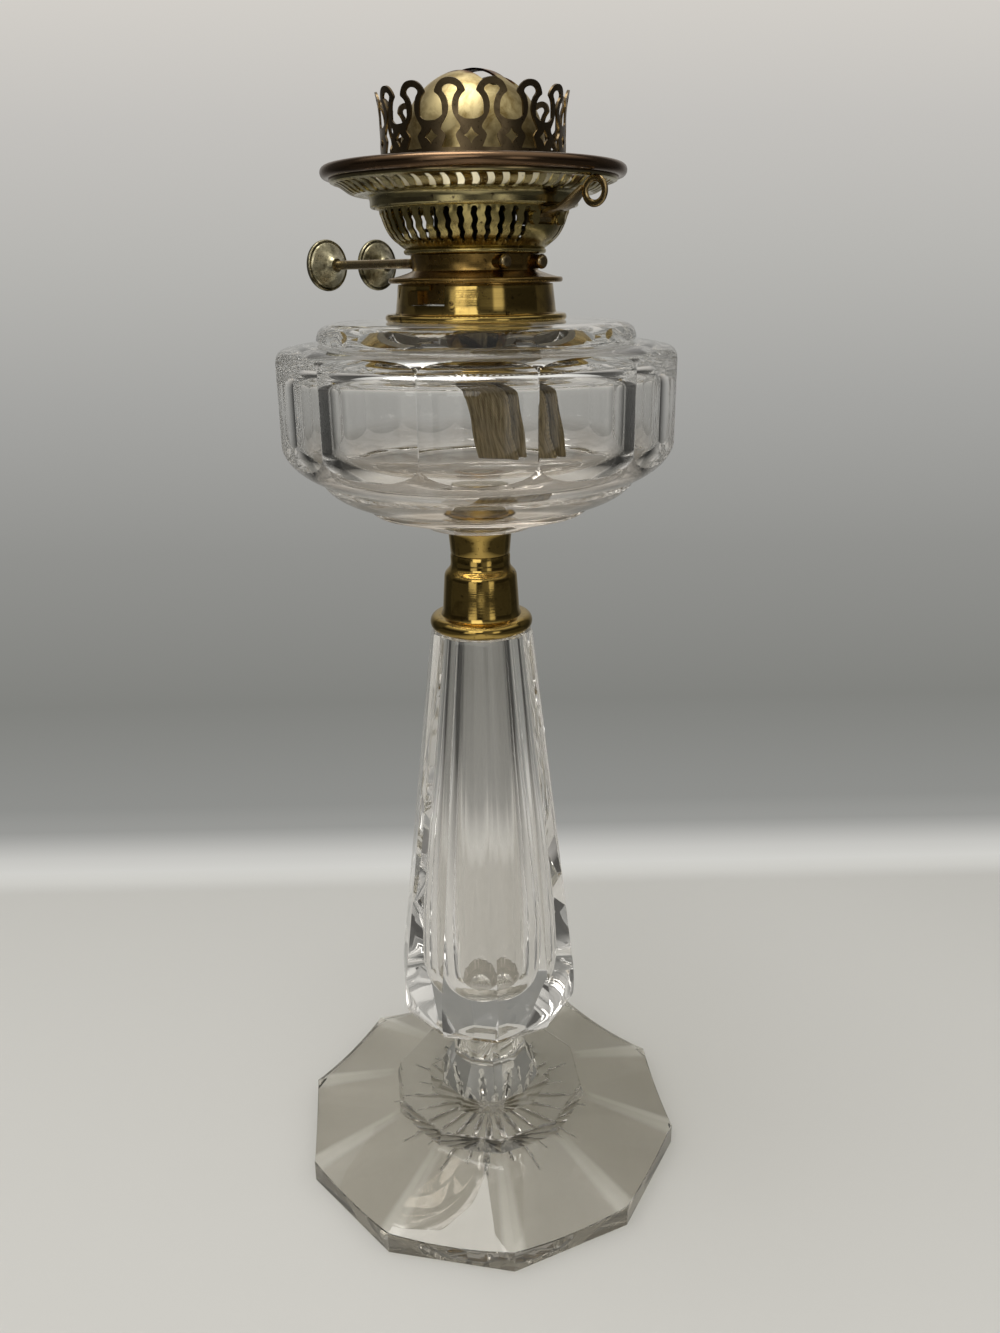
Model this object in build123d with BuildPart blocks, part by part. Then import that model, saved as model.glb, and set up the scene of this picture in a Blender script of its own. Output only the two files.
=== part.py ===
"""Cut-glass table oil lamp with a two-wick (duplex) burner.

All sizes are in millimetres.  The origin is the centre of the foot's underside, +Z is up,
-Y is the front of the lamp and the wick winders point to the back left.
"""

import os
from math import atan2, cos, degrees, radians, sin, sqrt

from build123d import *

os.makedirs("parts", exist_ok=True)

# ---------------------------------------------------------------------------
# Driving dimensions
# ---------------------------------------------------------------------------

# Glass pedestal: a ten-sided foot, a waisted neck and a hollow ten-sided column
foot_sides = 10
foot_radius = 89.2  # centre to corner
foot_corner_angle = -84.0  # direction of the corner nearest the front
foot_edge = 11.3  # height of the side faces at the corners
hollow_sag = 2.6  # how far each hollowed panel dips at its outer edge
riser_foot_radius = 46.5
riser_foot_height = 23.0
deck_radius = 44.5
deck_height = 29.0
neck_foot_radius = 30.0  # where the neck starts to rise from the deck
neck_flare_radius = 24.0
neck_flare_rise = 3.3
neck_radius = 16.3
ledge_radius = 17.6
ledge_thickness = 3.5
neck_length = 21.0  # from the deck to the top of the ledge
bulb_radius = 40.9
bulb_foot_rise = 12.0  # from the ledge to where the column spreads out
bulb_rise = 34.0  # from the ledge to the widest part of the column
column_top_radius = 21.4
column_length = 208.0
spigot_radius = 12.4
spigot_length = 18.0
bore_radius = 6.8  # hollow of the column at its top
hollow_middle_radius = 13.2
hollow_middle_drop = 98.0  # from the top of the column down to that radius
hollow_radius = 15.4  # hollow of the column at its widest
hollow_floor_rise = 34.0  # from the ledge to the bottom of the hollow
star_rays = 24
star_radius = 47.0
star_depth = 3.4

# Brass cap on the column and the socket that screws onto it
sheet = 0.9  # thickness of the spun brass
cap_flange_radius = 21.2
cap_flange_height = 6.4
cap_radius = 15.9
cap_shoulder_radius = 14.9
cap_body_height = 18.0
cap_neck_radius = 12.2
cap_neck_height = 7.6
bead_line = 0.5  # depth of the turned line between cap and socket
socket_top_radius = 13.0
socket_flare_radius = 15.5
socket_height = 11.5
socket_floor = 2.0
thread_radius = 7.5
thread_length = 9.0
plaster_gap = 1.4

# Glass font: twelve flat panels on a rounded drum, a cushion above, two rings below
font_sides = 12
font_radius = 76.4  # centre to the corner between two panels
font_flat = 73.8  # centre to the face of a panel
font_height = 78.3
font_side_low = 34.0  # where the straight side starts, above the font's base
font_side_high = 64.8
font_groove_radius = 61.8
font_groove_height = 71.0
cushion_radius = 60.6
cushion_flat = 59.0
ring_b_radius = 61.0
ring_b_height = 19.0
ring_c_radius = 43.8
ring_c_height = 9.0
font_base_radius = 22.0
font_wall = 8.0
font_floor = 9.0
font_neck_radius = 25.2
font_neck_height = 6.4
font_mouth_radius = 21.6
peg_radius = 10.2

# Brass collar on the font and the bayonet that holds the burner
collar_flange_radius = 34.2
collar_flange_thickness = 2.8
collar_radius = 29.2
collar_foot_radius = 30.1
collar_height = 13.4
seat_gap = 0.3
lug_count = 2
lug_angle = -138.0
lug_width = 5.6
lug_height = 4.6
lug_drop = 2.6  # from the burner's seat to the top of a lug
lug_reach = 1.3  # how far a lug stands out of the collar
bayonet_turn = 20.0  # degrees from locked to free
fit_gap = 0.3  # clearance between loose pieces
running_gap = 0.06  # radial clearance of a shaft in its bush

# Burner base
skirt_length = 7.0
burner_flange_radius = 32.6
burner_flange_thickness = 1.9
bevel_height = 3.9
drum_radius = 23.4
drum_top_radius = 24.0
drum_height = 9.8  # from the burner's seat to the top of the drum
floor_rise = 2.0
floor_thickness = 1.0

# Basket
basket_ring_radius = 26.3
basket_ring_height = 2.0
basket_radius = 34.9
basket_height = 15.4  # from the drum to the top of the bowl
basket_bulge = 1.6
basket_rim_radius = 36.4
basket_rim_height = 1.4
basket_slots = 45
basket_slot_width = 2.8
basket_slot_low = 3.9
basket_slot_high = 14.7
basket_plain_half = 16.0  # degrees without slots on each side of the lever

# Wicks, wick tubes and winders
spindle_angle = 135.0  # the winders point this way
tube_offset = 5.3  # from the burner's axis to each wick
wick_width = 25.0
wick_thickness = 2.5
wick_length = 132.0
wick_gap = 0.4  # between a wick and its tube
tube_wall = 0.8
tube_length = 66.0
tube_dip = 4.0  # how far a tube reaches below the burner's seat
wick_stand = 2.0  # how far a wick stands out of its tube
wick_curve = 120.0  # radius of the bend in which a wick hangs to one side
wick_straight = 8.0  # straight length of a wick below its tube
spindle_radius = 1.75
spindle_offset = 9.65
wheel_radius = 2.85
wheel_width = 1.4
wheel_teeth = 10
wheel_pitch = 8.0
wheel_count = 3
bush_radius = 2.4
bush_cover = 0.3  # metal of the drum above a bush
bush_length = 3.8
bush_inner = 19.6  # where the bushes start, from the middle of the spindle
head_radius = 2.6
head_length = 2.2
front_reach = 79.4  # from the middle of the front spindle to its tip
rear_reach = 70.4
knob_radius = 10.1
knob_rim = 1.6
knob_depth = 6.0
knob_dome = 1.5
knob_hub_radius = 3.0

# Extinguisher
sleeve_gap = 0.3
sleeve_wall = 0.5
sleeve_length = 37.7
yoke_thickness = 1.2
yoke_length = 35.0
yoke_width = 21.0
tongue_reach = 20.8
tongue_width = 8.0
lever_angle = -40.0
lever_pivot_radius = 30.8
lever_pivot_rise = 21.0  # above the burner's seat
lever_arm = 12.6
lever_swing = 40.0
lever_thickness = 1.2
lever_width = 8.8
lever_arm_width = 4.0
nose_radius = 1.2
pin_radius = 1.0
pin_gap = 0.05
hub_radius = 1.9
lever_ring_radius = 5.4
lever_ring_hole = 2.6
lever_ring_reach = 22.4
lever_ring_rise = 8.0
ear_thickness = 1.0
ear_width = 5.4
ear_height = 4.4
ear_foot = 2.6  # depth of the bracket's feet behind the basket
rivet_radius = 1.0
rivet_head_radius = 2.2
rivet_offset = 7.4
rivet_reach = 3.2  # from the lever's pivot to the outside of a rivet's head

# Gallery: shade tray, chimney plate, crown and dome
tray_bead_radius = 2.2
tray_radius = 55.5
tray_rise = 37.5  # above the burner's seat, to the middle of the bead
step_radius = 38.1
step_height = 2.5
cavetto_radius = 41.5
cavetto_height = 2.2
tray_slots = 60
tray_slot_width = 2.9
tray_slot_inner = 43.8
tray_slot_outer = 50.2
plate_rise = 41.0  # above the burner's seat, to the top of the chimney plate
plate_hole_radius = 24.6
plate_shoulder_radius = 34.8  # the plate's wall leans in from the tray's step to here
crown_radius = 33.4
crown_wall = 0.8
crown_height = 22.5
crown_lobes = 15
notch_radius = 4.2
notch_height = 14.1  # from the chimney plate to the middle of a notch
notch_mouth = 3.4
# the vase-shaped hole of a lobe, as (half width, height above the chimney plate)
vase_foot = (3.2, 1.9)
vase_pinch = (1.8, 5.5)
vase_belly = (3.2, 8.0)
vase_neck = (0.7, 14.0)
vase_head = (2.4, 18.6)
vase_crest = 20.5
diamond_height = 5.5
diamond_half = 2.3
dome_radius = 26.0
dome_rise = 30.2  # from the chimney plate to the top of the dome
dome_flange = 3.0
slot_length = 35.0
slot_width = 6.6

# ---------------------------------------------------------------------------
# Heights that follow from the driving dimensions
# ---------------------------------------------------------------------------

ledge_top = deck_height + neck_length
column_top = ledge_top + column_length
cap_top = column_top + cap_flange_height + cap_body_height + cap_neck_height
font_base = cap_top + socket_height
font_top = font_base + font_height
collar_top = font_top + collar_height
seat = collar_top + seat_gap  # underside of the burner's flange
drum_top = seat + drum_height
bowl_top = drum_top + basket_height
rim_top = bowl_top + basket_rim_height
spindle_height = drum_top - bush_cover - bush_radius
tube_top = seat - tube_dip + tube_length
tray_height = seat + tray_rise
plate_top = seat + plate_rise
step_bottom = rim_top - 0.8
tube_depth = wick_thickness + 2 * wick_gap
tube_breadth = wick_width + 2 * wick_gap + 0.4
skirt_radius = collar_radius - sheet - fit_gap
up = (0, 0, 1)


def heading(angle, distance=1.0, height=0.0):
    """Point at a distance from the axis in the given direction."""
    return (distance * cos(radians(angle)), distance * sin(radians(angle)), height)


def upright(angle, distance=0.0, height=0.0):
    """Plane that faces outwards at the given direction, with its local y up."""
    side = heading(angle + 90)
    return Plane(origin=heading(angle, distance, height), x_dir=side, z_dir=heading(angle))


def radial(angle):
    """Plane through the axis: local x is the radius in the given direction, local y is up."""
    return Plane(origin=(0, 0, 0), x_dir=heading(angle), z_dir=heading(angle - 90))


def burner_plane(height):
    """Horizontal plane turned so that its local x runs along the spindles."""
    return Plane(origin=(0, 0, height), x_dir=heading(spindle_angle), z_dir=up)


def finish(part, label):
    """Label a finished piece and write its STEP file."""
    part.label = label
    export_step(part, f"parts/{label}.step")


# ---------------------------------------------------------------------------
# Glass pedestal
# ---------------------------------------------------------------------------

neck_top = ledge_top - ledge_thickness
bulb_height = ledge_top + bulb_rise
taper = (column_top_radius - bulb_radius) / (column_length - bulb_rise)
pedestal_rings = [
    (0.0, foot_radius),
    (foot_edge, foot_radius),
    (riser_foot_height, riser_foot_radius),
    (deck_height, deck_radius),
    (deck_height + 0.5, neck_foot_radius),
    (deck_height + neck_flare_rise, neck_flare_radius),
    (neck_top, neck_radius + 0.6),
    (neck_top + 0.3, ledge_radius),
    (ledge_top, ledge_radius),
    (ledge_top + 0.5, neck_radius),
    (ledge_top + bulb_foot_rise, neck_radius),
    (ledge_top + 0.44 * bulb_rise, 0.49 * bulb_radius),
    (ledge_top + 0.66 * bulb_rise, 0.74 * bulb_radius),
    (ledge_top + 0.83 * bulb_rise, 0.93 * bulb_radius),
    (ledge_top + 0.91 * bulb_rise, 0.975 * bulb_radius),
    (bulb_height, bulb_radius),
    (bulb_height + 0.09 * column_length, bulb_radius + 0.45 * taper * 0.09 * column_length),
    (column_top, column_top_radius),
]

with BuildPart() as pedestal:
    for ring_height, ring_radius in pedestal_rings:
        with BuildSketch(Plane.XY.offset(ring_height)):
            RegularPolygon(ring_radius, foot_sides, rotation=foot_corner_angle)
    loft(ruled=True)
    # round spigot that the brass cap is plastered over
    with BuildSketch(Plane.XY.offset(column_top)):
        Circle(spigot_radius)
    extrude(amount=spigot_length)
    # long hollow, open at the top, with a rounded floor
    hollow_floor = ledge_top + hollow_floor_rise
    with BuildSketch(Plane.XZ):
        with BuildLine():
            Polyline(
                (0, hollow_floor),
                (0.55 * hollow_radius, hollow_floor),
            )
            ThreePointArc(
                (0.55 * hollow_radius, hollow_floor),
                (0.90 * hollow_radius, hollow_floor + 0.16 * hollow_radius),
                (hollow_radius, hollow_floor + 0.60 * hollow_radius),
            )
            Polyline(
                (hollow_radius, hollow_floor + 0.60 * hollow_radius),
                (hollow_middle_radius, column_top - hollow_middle_drop),
                (bore_radius, column_top),
                (bore_radius, column_top + spigot_length),
                (0, column_top + spigot_length),
                (0, hollow_floor),
            )
        make_face()
    revolve(mode=Mode.SUBTRACT)
    # one hollowed panel on each side of the foot
    half_side = foot_radius * sin(radians(180 / foot_sides))
    foot_apothem = foot_radius * cos(radians(180 / foot_sides))
    riser_apothem = riser_foot_radius * cos(radians(180 / foot_sides))
    panel_curve = (half_side**2 + hollow_sag**2) / (2 * hollow_sag)
    inner_half = riser_foot_radius * sin(radians(180 / foot_sides))
    inner_sag = panel_curve - sqrt(panel_curve**2 - inner_half**2)
    panel_run = foot_apothem - riser_apothem
    panel_climb = (riser_foot_height - inner_sag) - (foot_edge - hollow_sag)
    panel_slope = degrees(atan2(panel_climb, panel_run))
    for side in range(foot_sides):
        facing = foot_corner_angle + (side + 0.5) * 360 / foot_sides
        slope = radians(panel_slope)
        outward = heading(facing)
        along = (-outward[0] * cos(slope), -outward[1] * cos(slope), sin(slope))
        # the cutter is a long cylinder that starts well outside the foot
        start_r = foot_apothem + panel_run + panel_curve * sin(slope)
        start_z = foot_edge - hollow_sag - panel_climb + panel_curve * cos(slope)
        cutter = Plane(
            origin=heading(facing, start_r, start_z), x_dir=heading(facing + 90), z_dir=along
        )
        with BuildSketch(cutter):
            Circle(panel_curve)
        extrude(amount=2 * panel_run / cos(slope), mode=Mode.SUBTRACT)
    # star of mitre cuts in the underside
    for ray in range(star_rays):
        direction = foot_corner_angle + ray * 360 / star_rays
        reach = star_radius if ray % 2 == 0 else 0.8 * star_radius
        with BuildSketch(upright(direction, 0.8)) as star_root:
            Polygon((-0.15, -1.0), (0.15, -1.0), (0, 0.3))
        with BuildSketch(upright(direction, 0.5 * star_radius)) as star_middle:
            Polygon((-star_depth, -1.0), (star_depth, -1.0), (0, star_depth))
        with BuildSketch(upright(direction, reach)) as star_tip:
            Polygon((-0.15, -1.0), (0.15, -1.0), (0, 0.05))
        rays = [star_root.sketch, star_middle.sketch, star_tip.sketch]
        loft(sections=rays, ruled=True, mode=Mode.SUBTRACT)
finish(pedestal.part, "glass_pedestal")

# ---------------------------------------------------------------------------
# Brass cap, its plaster and the socket under the font
# ---------------------------------------------------------------------------

cap_body_bottom = column_top + cap_flange_height
cap_body_top = cap_body_bottom + cap_body_height
thread_bottom = cap_top - thread_length
cap_roof = thread_bottom - 1.0
plaster_radius = spigot_radius + plaster_gap

with BuildPart() as cap:
    with BuildSketch(Plane.XZ):
        with BuildLine():
            Polyline(
                (thread_radius, cap_top),
                (thread_radius, cap_roof),
                (plaster_radius, cap_roof),
                (plaster_radius, column_top),
                (cap_flange_radius - cap_flange_height / 2, column_top),
            )
            ThreePointArc(
                (cap_flange_radius - cap_flange_height / 2, column_top),
                (cap_flange_radius, column_top + cap_flange_height / 2),
                (cap_flange_radius - cap_flange_height / 2, column_top + cap_flange_height),
            )
            Polyline(
                (cap_flange_radius - cap_flange_height / 2, column_top + cap_flange_height),
                (cap_radius, cap_body_bottom),
                (cap_shoulder_radius, cap_body_top - 2.0),
            )
            ThreePointArc(
                (cap_shoulder_radius, cap_body_top - 2.0),
                (cap_shoulder_radius - 0.5, cap_body_top - 0.6),
                (cap_neck_radius + 0.6, cap_body_top),
            )
            Polyline(
                (cap_neck_radius + 0.6, cap_body_top),
                (cap_neck_radius, cap_body_top + 1.6),
                (cap_neck_radius, cap_top - bead_line),
                (cap_neck_radius - bead_line, cap_top - bead_line),
                (cap_neck_radius - bead_line, cap_top),
                (thread_radius, cap_top),
            )
        make_face()
    revolve()
finish(cap.part, "column_cap")

with BuildPart() as cap_plaster:
    with BuildSketch(Plane.XY.offset(column_top)):
        Circle(plaster_radius)
        Circle(spigot_radius, mode=Mode.SUBTRACT)
    extrude(amount=spigot_length)
finish(cap_plaster.part, "cap_plaster")

with BuildPart() as socket:
    with BuildSketch(Plane.XZ):
        with BuildLine():
            Polyline(
                (0, thread_bottom),
                (thread_radius, thread_bottom),
                (thread_radius, cap_top),
                (cap_neck_radius, cap_top),
                (cap_neck_radius, cap_top + 0.35 * socket_height),
                (socket_top_radius, font_base - 1.8),
            )
            ThreePointArc(
                (socket_top_radius, font_base - 1.8),
                (socket_top_radius + 0.7, font_base - 0.7),
                (socket_flare_radius, font_base - 0.4),
            )
            Polyline(
                (socket_flare_radius, font_base - 0.4),
                (socket_flare_radius, font_base),
                (peg_radius + plaster_gap - 0.2, font_base),
                (peg_radius + plaster_gap - 0.2, cap_top + socket_floor),
                (0, cap_top + socket_floor),
                (0, thread_bottom),
            )
        make_face()
    revolve()
finish(socket.part, "font_socket")

peg_bottom = cap_top + socket_floor + 0.8
with BuildPart() as socket_plaster:
    with BuildSketch(Plane.XZ):
        Polygon(
            (0, cap_top + socket_floor),
            (peg_radius + plaster_gap - 0.2, cap_top + socket_floor),
            (peg_radius + plaster_gap - 0.2, font_base),
            (peg_radius, font_base),
            (peg_radius, peg_bottom),
            (0, peg_bottom),
        )
    revolve()
finish(socket_plaster.part, "socket_plaster")

# ---------------------------------------------------------------------------
# Glass font
# ---------------------------------------------------------------------------

side_low = font_base + font_side_low
side_high = font_base + font_side_high
groove = font_base + font_groove_height
ring_b_top = font_base + ring_b_height
ring_c_top = font_base + ring_c_height
neck_rim = font_top + font_neck_height

with BuildPart() as font:
    # cushion above the groove, cut with twelve flats
    with BuildSketch(Plane.XZ):
        with BuildLine():
            Polyline(
                (0, groove - 1.0),
                (cushion_radius - 0.5, groove - 1.0),
                (cushion_radius, groove + 2.4),
            )
            ThreePointArc(
                (cushion_radius, groove + 2.4),
                (cushion_radius - 2.2, font_top - 1.8),
                (cushion_radius - 8.0, font_top),
            )
            Polyline((cushion_radius - 8.0, font_top), (0, font_top), (0, groove - 1.0))
        make_face()
    revolve()
    with BuildSketch(Plane.XY.offset(groove - 1.0)):
        RegularPolygon(cushion_flat, font_sides, major_radius=False, rotation=180 / font_sides)
    extrude(amount=font_top - groove + 1.0, mode=Mode.INTERSECT)
    # drum with rounded shoulders and two rings under it
    with BuildSketch(Plane.XZ):
        with BuildLine():
            Polyline((0, font_base), (font_base_radius, font_base))
            ThreePointArc(
                (font_base_radius, font_base),
                (0.82 * ring_c_radius, font_base + 0.40 * ring_c_height),
                (ring_c_radius, ring_c_top),
            )
            Polyline((ring_c_radius, ring_c_top), (ring_c_radius + 0.6, ring_c_top + 1.6))
            ThreePointArc(
                (ring_c_radius + 0.6, ring_c_top + 1.6),
                (ring_b_radius - 4.0, ring_b_top - 3.6),
                (ring_b_radius, ring_b_top),
            )
            Polyline((ring_b_radius, ring_b_top), (ring_b_radius + 1.0, ring_b_top + 1.6))
            ThreePointArc(
                (ring_b_radius + 1.0, ring_b_top + 1.6),
                (font_radius - 3.4, side_low - 6.4),
                (font_radius, side_low),
            )
            Line((font_radius, side_low), (font_radius, side_high))
            ThreePointArc(
                (font_radius, side_high),
                (font_radius - 2.4, side_high + 3.9),
                (font_radius - 8.2, groove),
            )
            Polyline(
                (font_radius - 8.2, groove),
                (font_groove_radius, groove),
                (0, groove),
                (0, font_base),
            )
        make_face()
    revolve()
    with BuildSketch(Plane.XY.offset(font_base)):
        RegularPolygon(font_flat, font_sides, major_radius=False, rotation=180 / font_sides)
    extrude(amount=font_height, mode=Mode.INTERSECT)
    # neck inside the collar and peg inside the socket
    with BuildSketch(Plane.XY.offset(font_top)):
        Circle(font_neck_radius)
    extrude(amount=font_neck_height)
    with BuildSketch(Plane.XY.offset(font_base)):
        Circle(peg_radius)
    extrude(amount=peg_bottom - font_base)
    # reservoir
    tank_radius = font_flat - font_wall
    tank_floor = font_base + font_floor
    tank_roof = font_top - 7.0
    with BuildSketch(Plane.XZ):
        with BuildLine():
            Polyline((0, tank_floor), (0.45 * tank_radius, tank_floor + 1.5))
            ThreePointArc(
                (0.45 * tank_radius, tank_floor + 1.5),
                (0.85 * tank_radius, tank_floor + 10.0),
                (tank_radius, side_low + 1.0),
            )
            Line((tank_radius, side_low + 1.0), (tank_radius, side_high - 6.0))
            ThreePointArc(
                (tank_radius, side_high - 6.0),
                (tank_radius - 2.8, side_high - 1.0),
                (tank_radius - 9.0, side_high + 1.0),
            )
            Polyline(
                (tank_radius - 9.0, side_high + 1.0),
                (font_mouth_radius + 6.0, tank_roof),
                (font_mouth_radius, tank_roof + 2.0),
                (font_mouth_radius, neck_rim),
                (0, neck_rim),
                (0, tank_floor),
            )
        make_face()
    revolve(mode=Mode.SUBTRACT)
finish(font.part, "glass_font")

# ---------------------------------------------------------------------------
# Brass collar, its plaster and the bayonet slots
# ---------------------------------------------------------------------------

lug_top = seat - lug_drop
lug_bottom = lug_top - lug_height
collar_bore = collar_radius - sheet
plaster_top = font_top + 5.6

with BuildPart() as collar:
    with BuildSketch(Plane.XZ):
        with BuildLine():
            Polyline(
                (collar_bore, font_top),
                (collar_flange_radius - 0.7, font_top),
                (collar_flange_radius, font_top + 0.7),
                (collar_flange_radius, font_top + collar_flange_thickness - 0.7),
                (collar_flange_radius - 0.7, font_top + collar_flange_thickness),
                (collar_foot_radius + 0.5, font_top + collar_flange_thickness),
                (collar_foot_radius, font_top + collar_flange_thickness + 0.6),
                (collar_radius, collar_top - 2.4),
                (collar_radius, collar_top),
                (collar_bore, collar_top),
                (collar_bore, font_top),
            )
        make_face()
    revolve()
    # each bayonet slot is a notch from the top and a run under the rim
    notch = lug_width + 2 * fit_gap
    for lug in range(lug_count):
        locked = lug_angle + lug * 360 / lug_count
        free = locked + bayonet_turn
        with BuildSketch(upright(free)):
            with Locations((0, (lug_bottom - fit_gap + seat) / 2)):
                Rectangle(notch, seat - lug_bottom + fit_gap)
        extrude(amount=collar_foot_radius + 2, mode=Mode.SUBTRACT)
        steps = 8
        for step in range(steps + 1):
            with BuildSketch(upright(locked + step * bayonet_turn / steps)):
                with Locations((0, (lug_top + lug_bottom) / 2)):
                    Rectangle(notch, lug_height + 2 * fit_gap)
            extrude(amount=collar_foot_radius + 2, mode=Mode.SUBTRACT)
finish(collar.part, "font_collar")

with BuildPart() as collar_plaster:
    with BuildSketch(Plane.XY.offset(font_top)):
        Circle(collar_bore)
        Circle(font_neck_radius, mode=Mode.SUBTRACT)
    extrude(amount=plaster_top - font_top)
finish(collar_plaster.part, "collar_plaster")

# ---------------------------------------------------------------------------
# Burner base with its lugs, tube plate and bushes
# ---------------------------------------------------------------------------

# plane square to the spindles, at their height; the front spindle is at a negative local x
across = Plane(
    origin=(0, 0, spindle_height), x_dir=heading(spindle_angle - 90), z_dir=heading(spindle_angle)
)
tube_outside = tube_breadth + 2 * tube_wall
tube_outside_depth = tube_depth + 2 * tube_wall
drum_bore = drum_radius - sheet
floor_bottom = seat + floor_rise

with BuildPart() as base:
    with BuildSketch(Plane.XZ):
        Polygon(
            (skirt_radius, seat - skirt_length),
            (skirt_radius, seat),
            (burner_flange_radius - 0.5, seat),
            (burner_flange_radius, seat + 0.5),
            (burner_flange_radius, seat + burner_flange_thickness - 0.5),
            (burner_flange_radius - 0.6, seat + burner_flange_thickness),
            (drum_radius + 1.2, seat + bevel_height - 0.2),
            (drum_radius, seat + bevel_height + 0.4),
            (drum_top_radius, drum_top),
            (drum_bore, drum_top),
            (drum_bore, floor_bottom),
            (skirt_radius - sheet, floor_bottom - 1.0),
            (skirt_radius - sheet, seat - skirt_length),
        )
    revolve()
    # holes for the four spindle bushes
    with BuildSketch(across):
        with Locations((spindle_offset, 0), (-spindle_offset, 0)):
            Circle(bush_radius)
    extrude(amount=drum_top_radius + 4, both=True, mode=Mode.SUBTRACT)
finish(base.part, "burner_base")

with BuildPart() as lugs:
    for lug in range(lug_count):
        with BuildSketch(upright(lug_angle + lug * 360 / lug_count, skirt_radius - 0.4)):
            with Locations((0, (lug_top + lug_bottom) / 2)):
                Rectangle(lug_width, lug_height)
        extrude(amount=collar_radius - skirt_radius + 0.4 + lug_reach)
    with BuildSketch(Plane.XY.offset(lug_bottom - 1)):
        Circle(skirt_radius)
    extrude(amount=lug_height + 2, mode=Mode.SUBTRACT)
finish(lugs.part, "bayonet_lugs")

with BuildPart() as tube_plate:
    with BuildSketch(burner_plane(floor_bottom)):
        Circle(drum_bore)
        with Locations((0, tube_offset), (0, -tube_offset)):
            SlotOverall(tube_outside, tube_outside_depth, mode=Mode.SUBTRACT)
    extrude(amount=floor_thickness)
finish(tube_plate.part, "tube_plate")

with BuildPart() as bushes:
    for start in (bush_inner, -bush_inner - bush_length):
        with BuildSketch(across.offset(start)):
            with Locations((spindle_offset, 0), (-spindle_offset, 0)):
                Circle(bush_radius)
                Circle(spindle_radius + running_gap, mode=Mode.SUBTRACT)
        extrude(amount=bush_length)
finish(bushes.part, "spindle_bushes")

# ---------------------------------------------------------------------------
# Basket and air diffuser
# ---------------------------------------------------------------------------

ring_top = drum_top + basket_ring_height


def bowl_points(inset):
    """Three points of the bowl's rounded wall, moved inwards by the inset."""
    low = (basket_ring_radius + 0.4 - inset, ring_top + 0.4 * inset)
    high = (basket_radius - inset, bowl_top)
    middle_r = (low[0] + high[0]) / 2 + basket_bulge
    middle_z = (low[1] + high[1]) / 2 - basket_bulge
    return low, (middle_r, middle_z), high


bowl_low, bowl_mid, bowl_high = bowl_points(0)
wall_low, wall_mid, wall_high = bowl_points(sheet)
pin_height = seat + lever_pivot_rise

with BuildPart() as basket:
    with BuildSketch(Plane.XZ):
        with BuildLine():
            Polyline(
                (drum_bore, drum_top),
                (basket_ring_radius - 0.6, drum_top),
                (basket_ring_radius, drum_top + 0.6),
                (basket_ring_radius, ring_top - 0.4),
                bowl_low,
            )
            ThreePointArc(bowl_low, bowl_mid, bowl_high)
            Polyline(
                bowl_high,
                (basket_rim_radius, bowl_top + 0.2),
                (basket_rim_radius, rim_top),
                (basket_rim_radius - 2.0 * sheet, rim_top),
                wall_high,
            )
            ThreePointArc(wall_high, wall_mid, wall_low)
            Polyline(
                wall_low,
                (basket_ring_radius - sheet, ring_top - 0.4),
                (basket_ring_radius - sheet, drum_top + sheet),
                (drum_bore, drum_top + sheet),
                (drum_bore, drum_top),
            )
        make_face()
    revolve()
    slot_pitch = 360 / basket_slots
    for slot in range(basket_slots):
        angle = slot * slot_pitch - 90
        away = abs(angle - lever_angle)
        if min(away, 360 - away) > basket_plain_half:
            with BuildSketch(upright(angle, basket_ring_radius - 4)):
                Polygon(
                    (-0.36 * basket_slot_width, drum_top + basket_slot_low),
                    (0.36 * basket_slot_width, drum_top + basket_slot_low),
                    (0.5 * basket_slot_width, drum_top + basket_slot_high),
                    (-0.5 * basket_slot_width, drum_top + basket_slot_high),
                )
            extrude(amount=basket_radius, mode=Mode.SUBTRACT)
    # way out for the lever, and two rivet holes beside it
    slot_wide = lever_width + 2 * fit_gap
    with BuildSketch(upright(lever_angle, basket_ring_radius)):
        with Locations((0, (pin_height - hub_radius - fit_gap + bowl_top - 0.2) / 2)):
            Rectangle(slot_wide, bowl_top - 0.2 - pin_height + hub_radius + fit_gap)
    extrude(amount=basket_radius, mode=Mode.SUBTRACT)
    for side in (1, -1):
        with BuildSketch(upright(lever_angle, basket_ring_radius)):
            with Locations((side * rivet_offset, pin_height)):
                Circle(rivet_radius)
        extrude(amount=basket_radius, mode=Mode.SUBTRACT)
finish(basket.part, "burner_basket")

diffuser_radius = basket_ring_radius - sheet
with BuildPart() as diffuser:
    with BuildSketch(burner_plane(drum_top + sheet)):
        Circle(diffuser_radius)
        with Locations((0, tube_offset), (0, -tube_offset)):
            SlotOverall(tube_outside, tube_outside_depth, mode=Mode.SUBTRACT)
        with PolarLocations(diffuser_radius - 2.4, 32):
            Circle(1.1, mode=Mode.SUBTRACT)
        with PolarLocations(diffuser_radius - 5.6, 24):
            Circle(1.1, mode=Mode.SUBTRACT)
    extrude(amount=0.7)
finish(diffuser.part, "air_diffuser")

# ---------------------------------------------------------------------------
# Wick tubes, wicks and winders, front and rear
# ---------------------------------------------------------------------------

# plane across the wicks: local x points to the front spindle, local y is up
edge_on = Plane(
    origin=(0, 0, 0), x_dir=heading(spindle_angle + 90), z_dir=heading(spindle_angle)
)
tooth_step = 360 / wheel_teeth
root_radius = wheel_radius - 0.7

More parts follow.
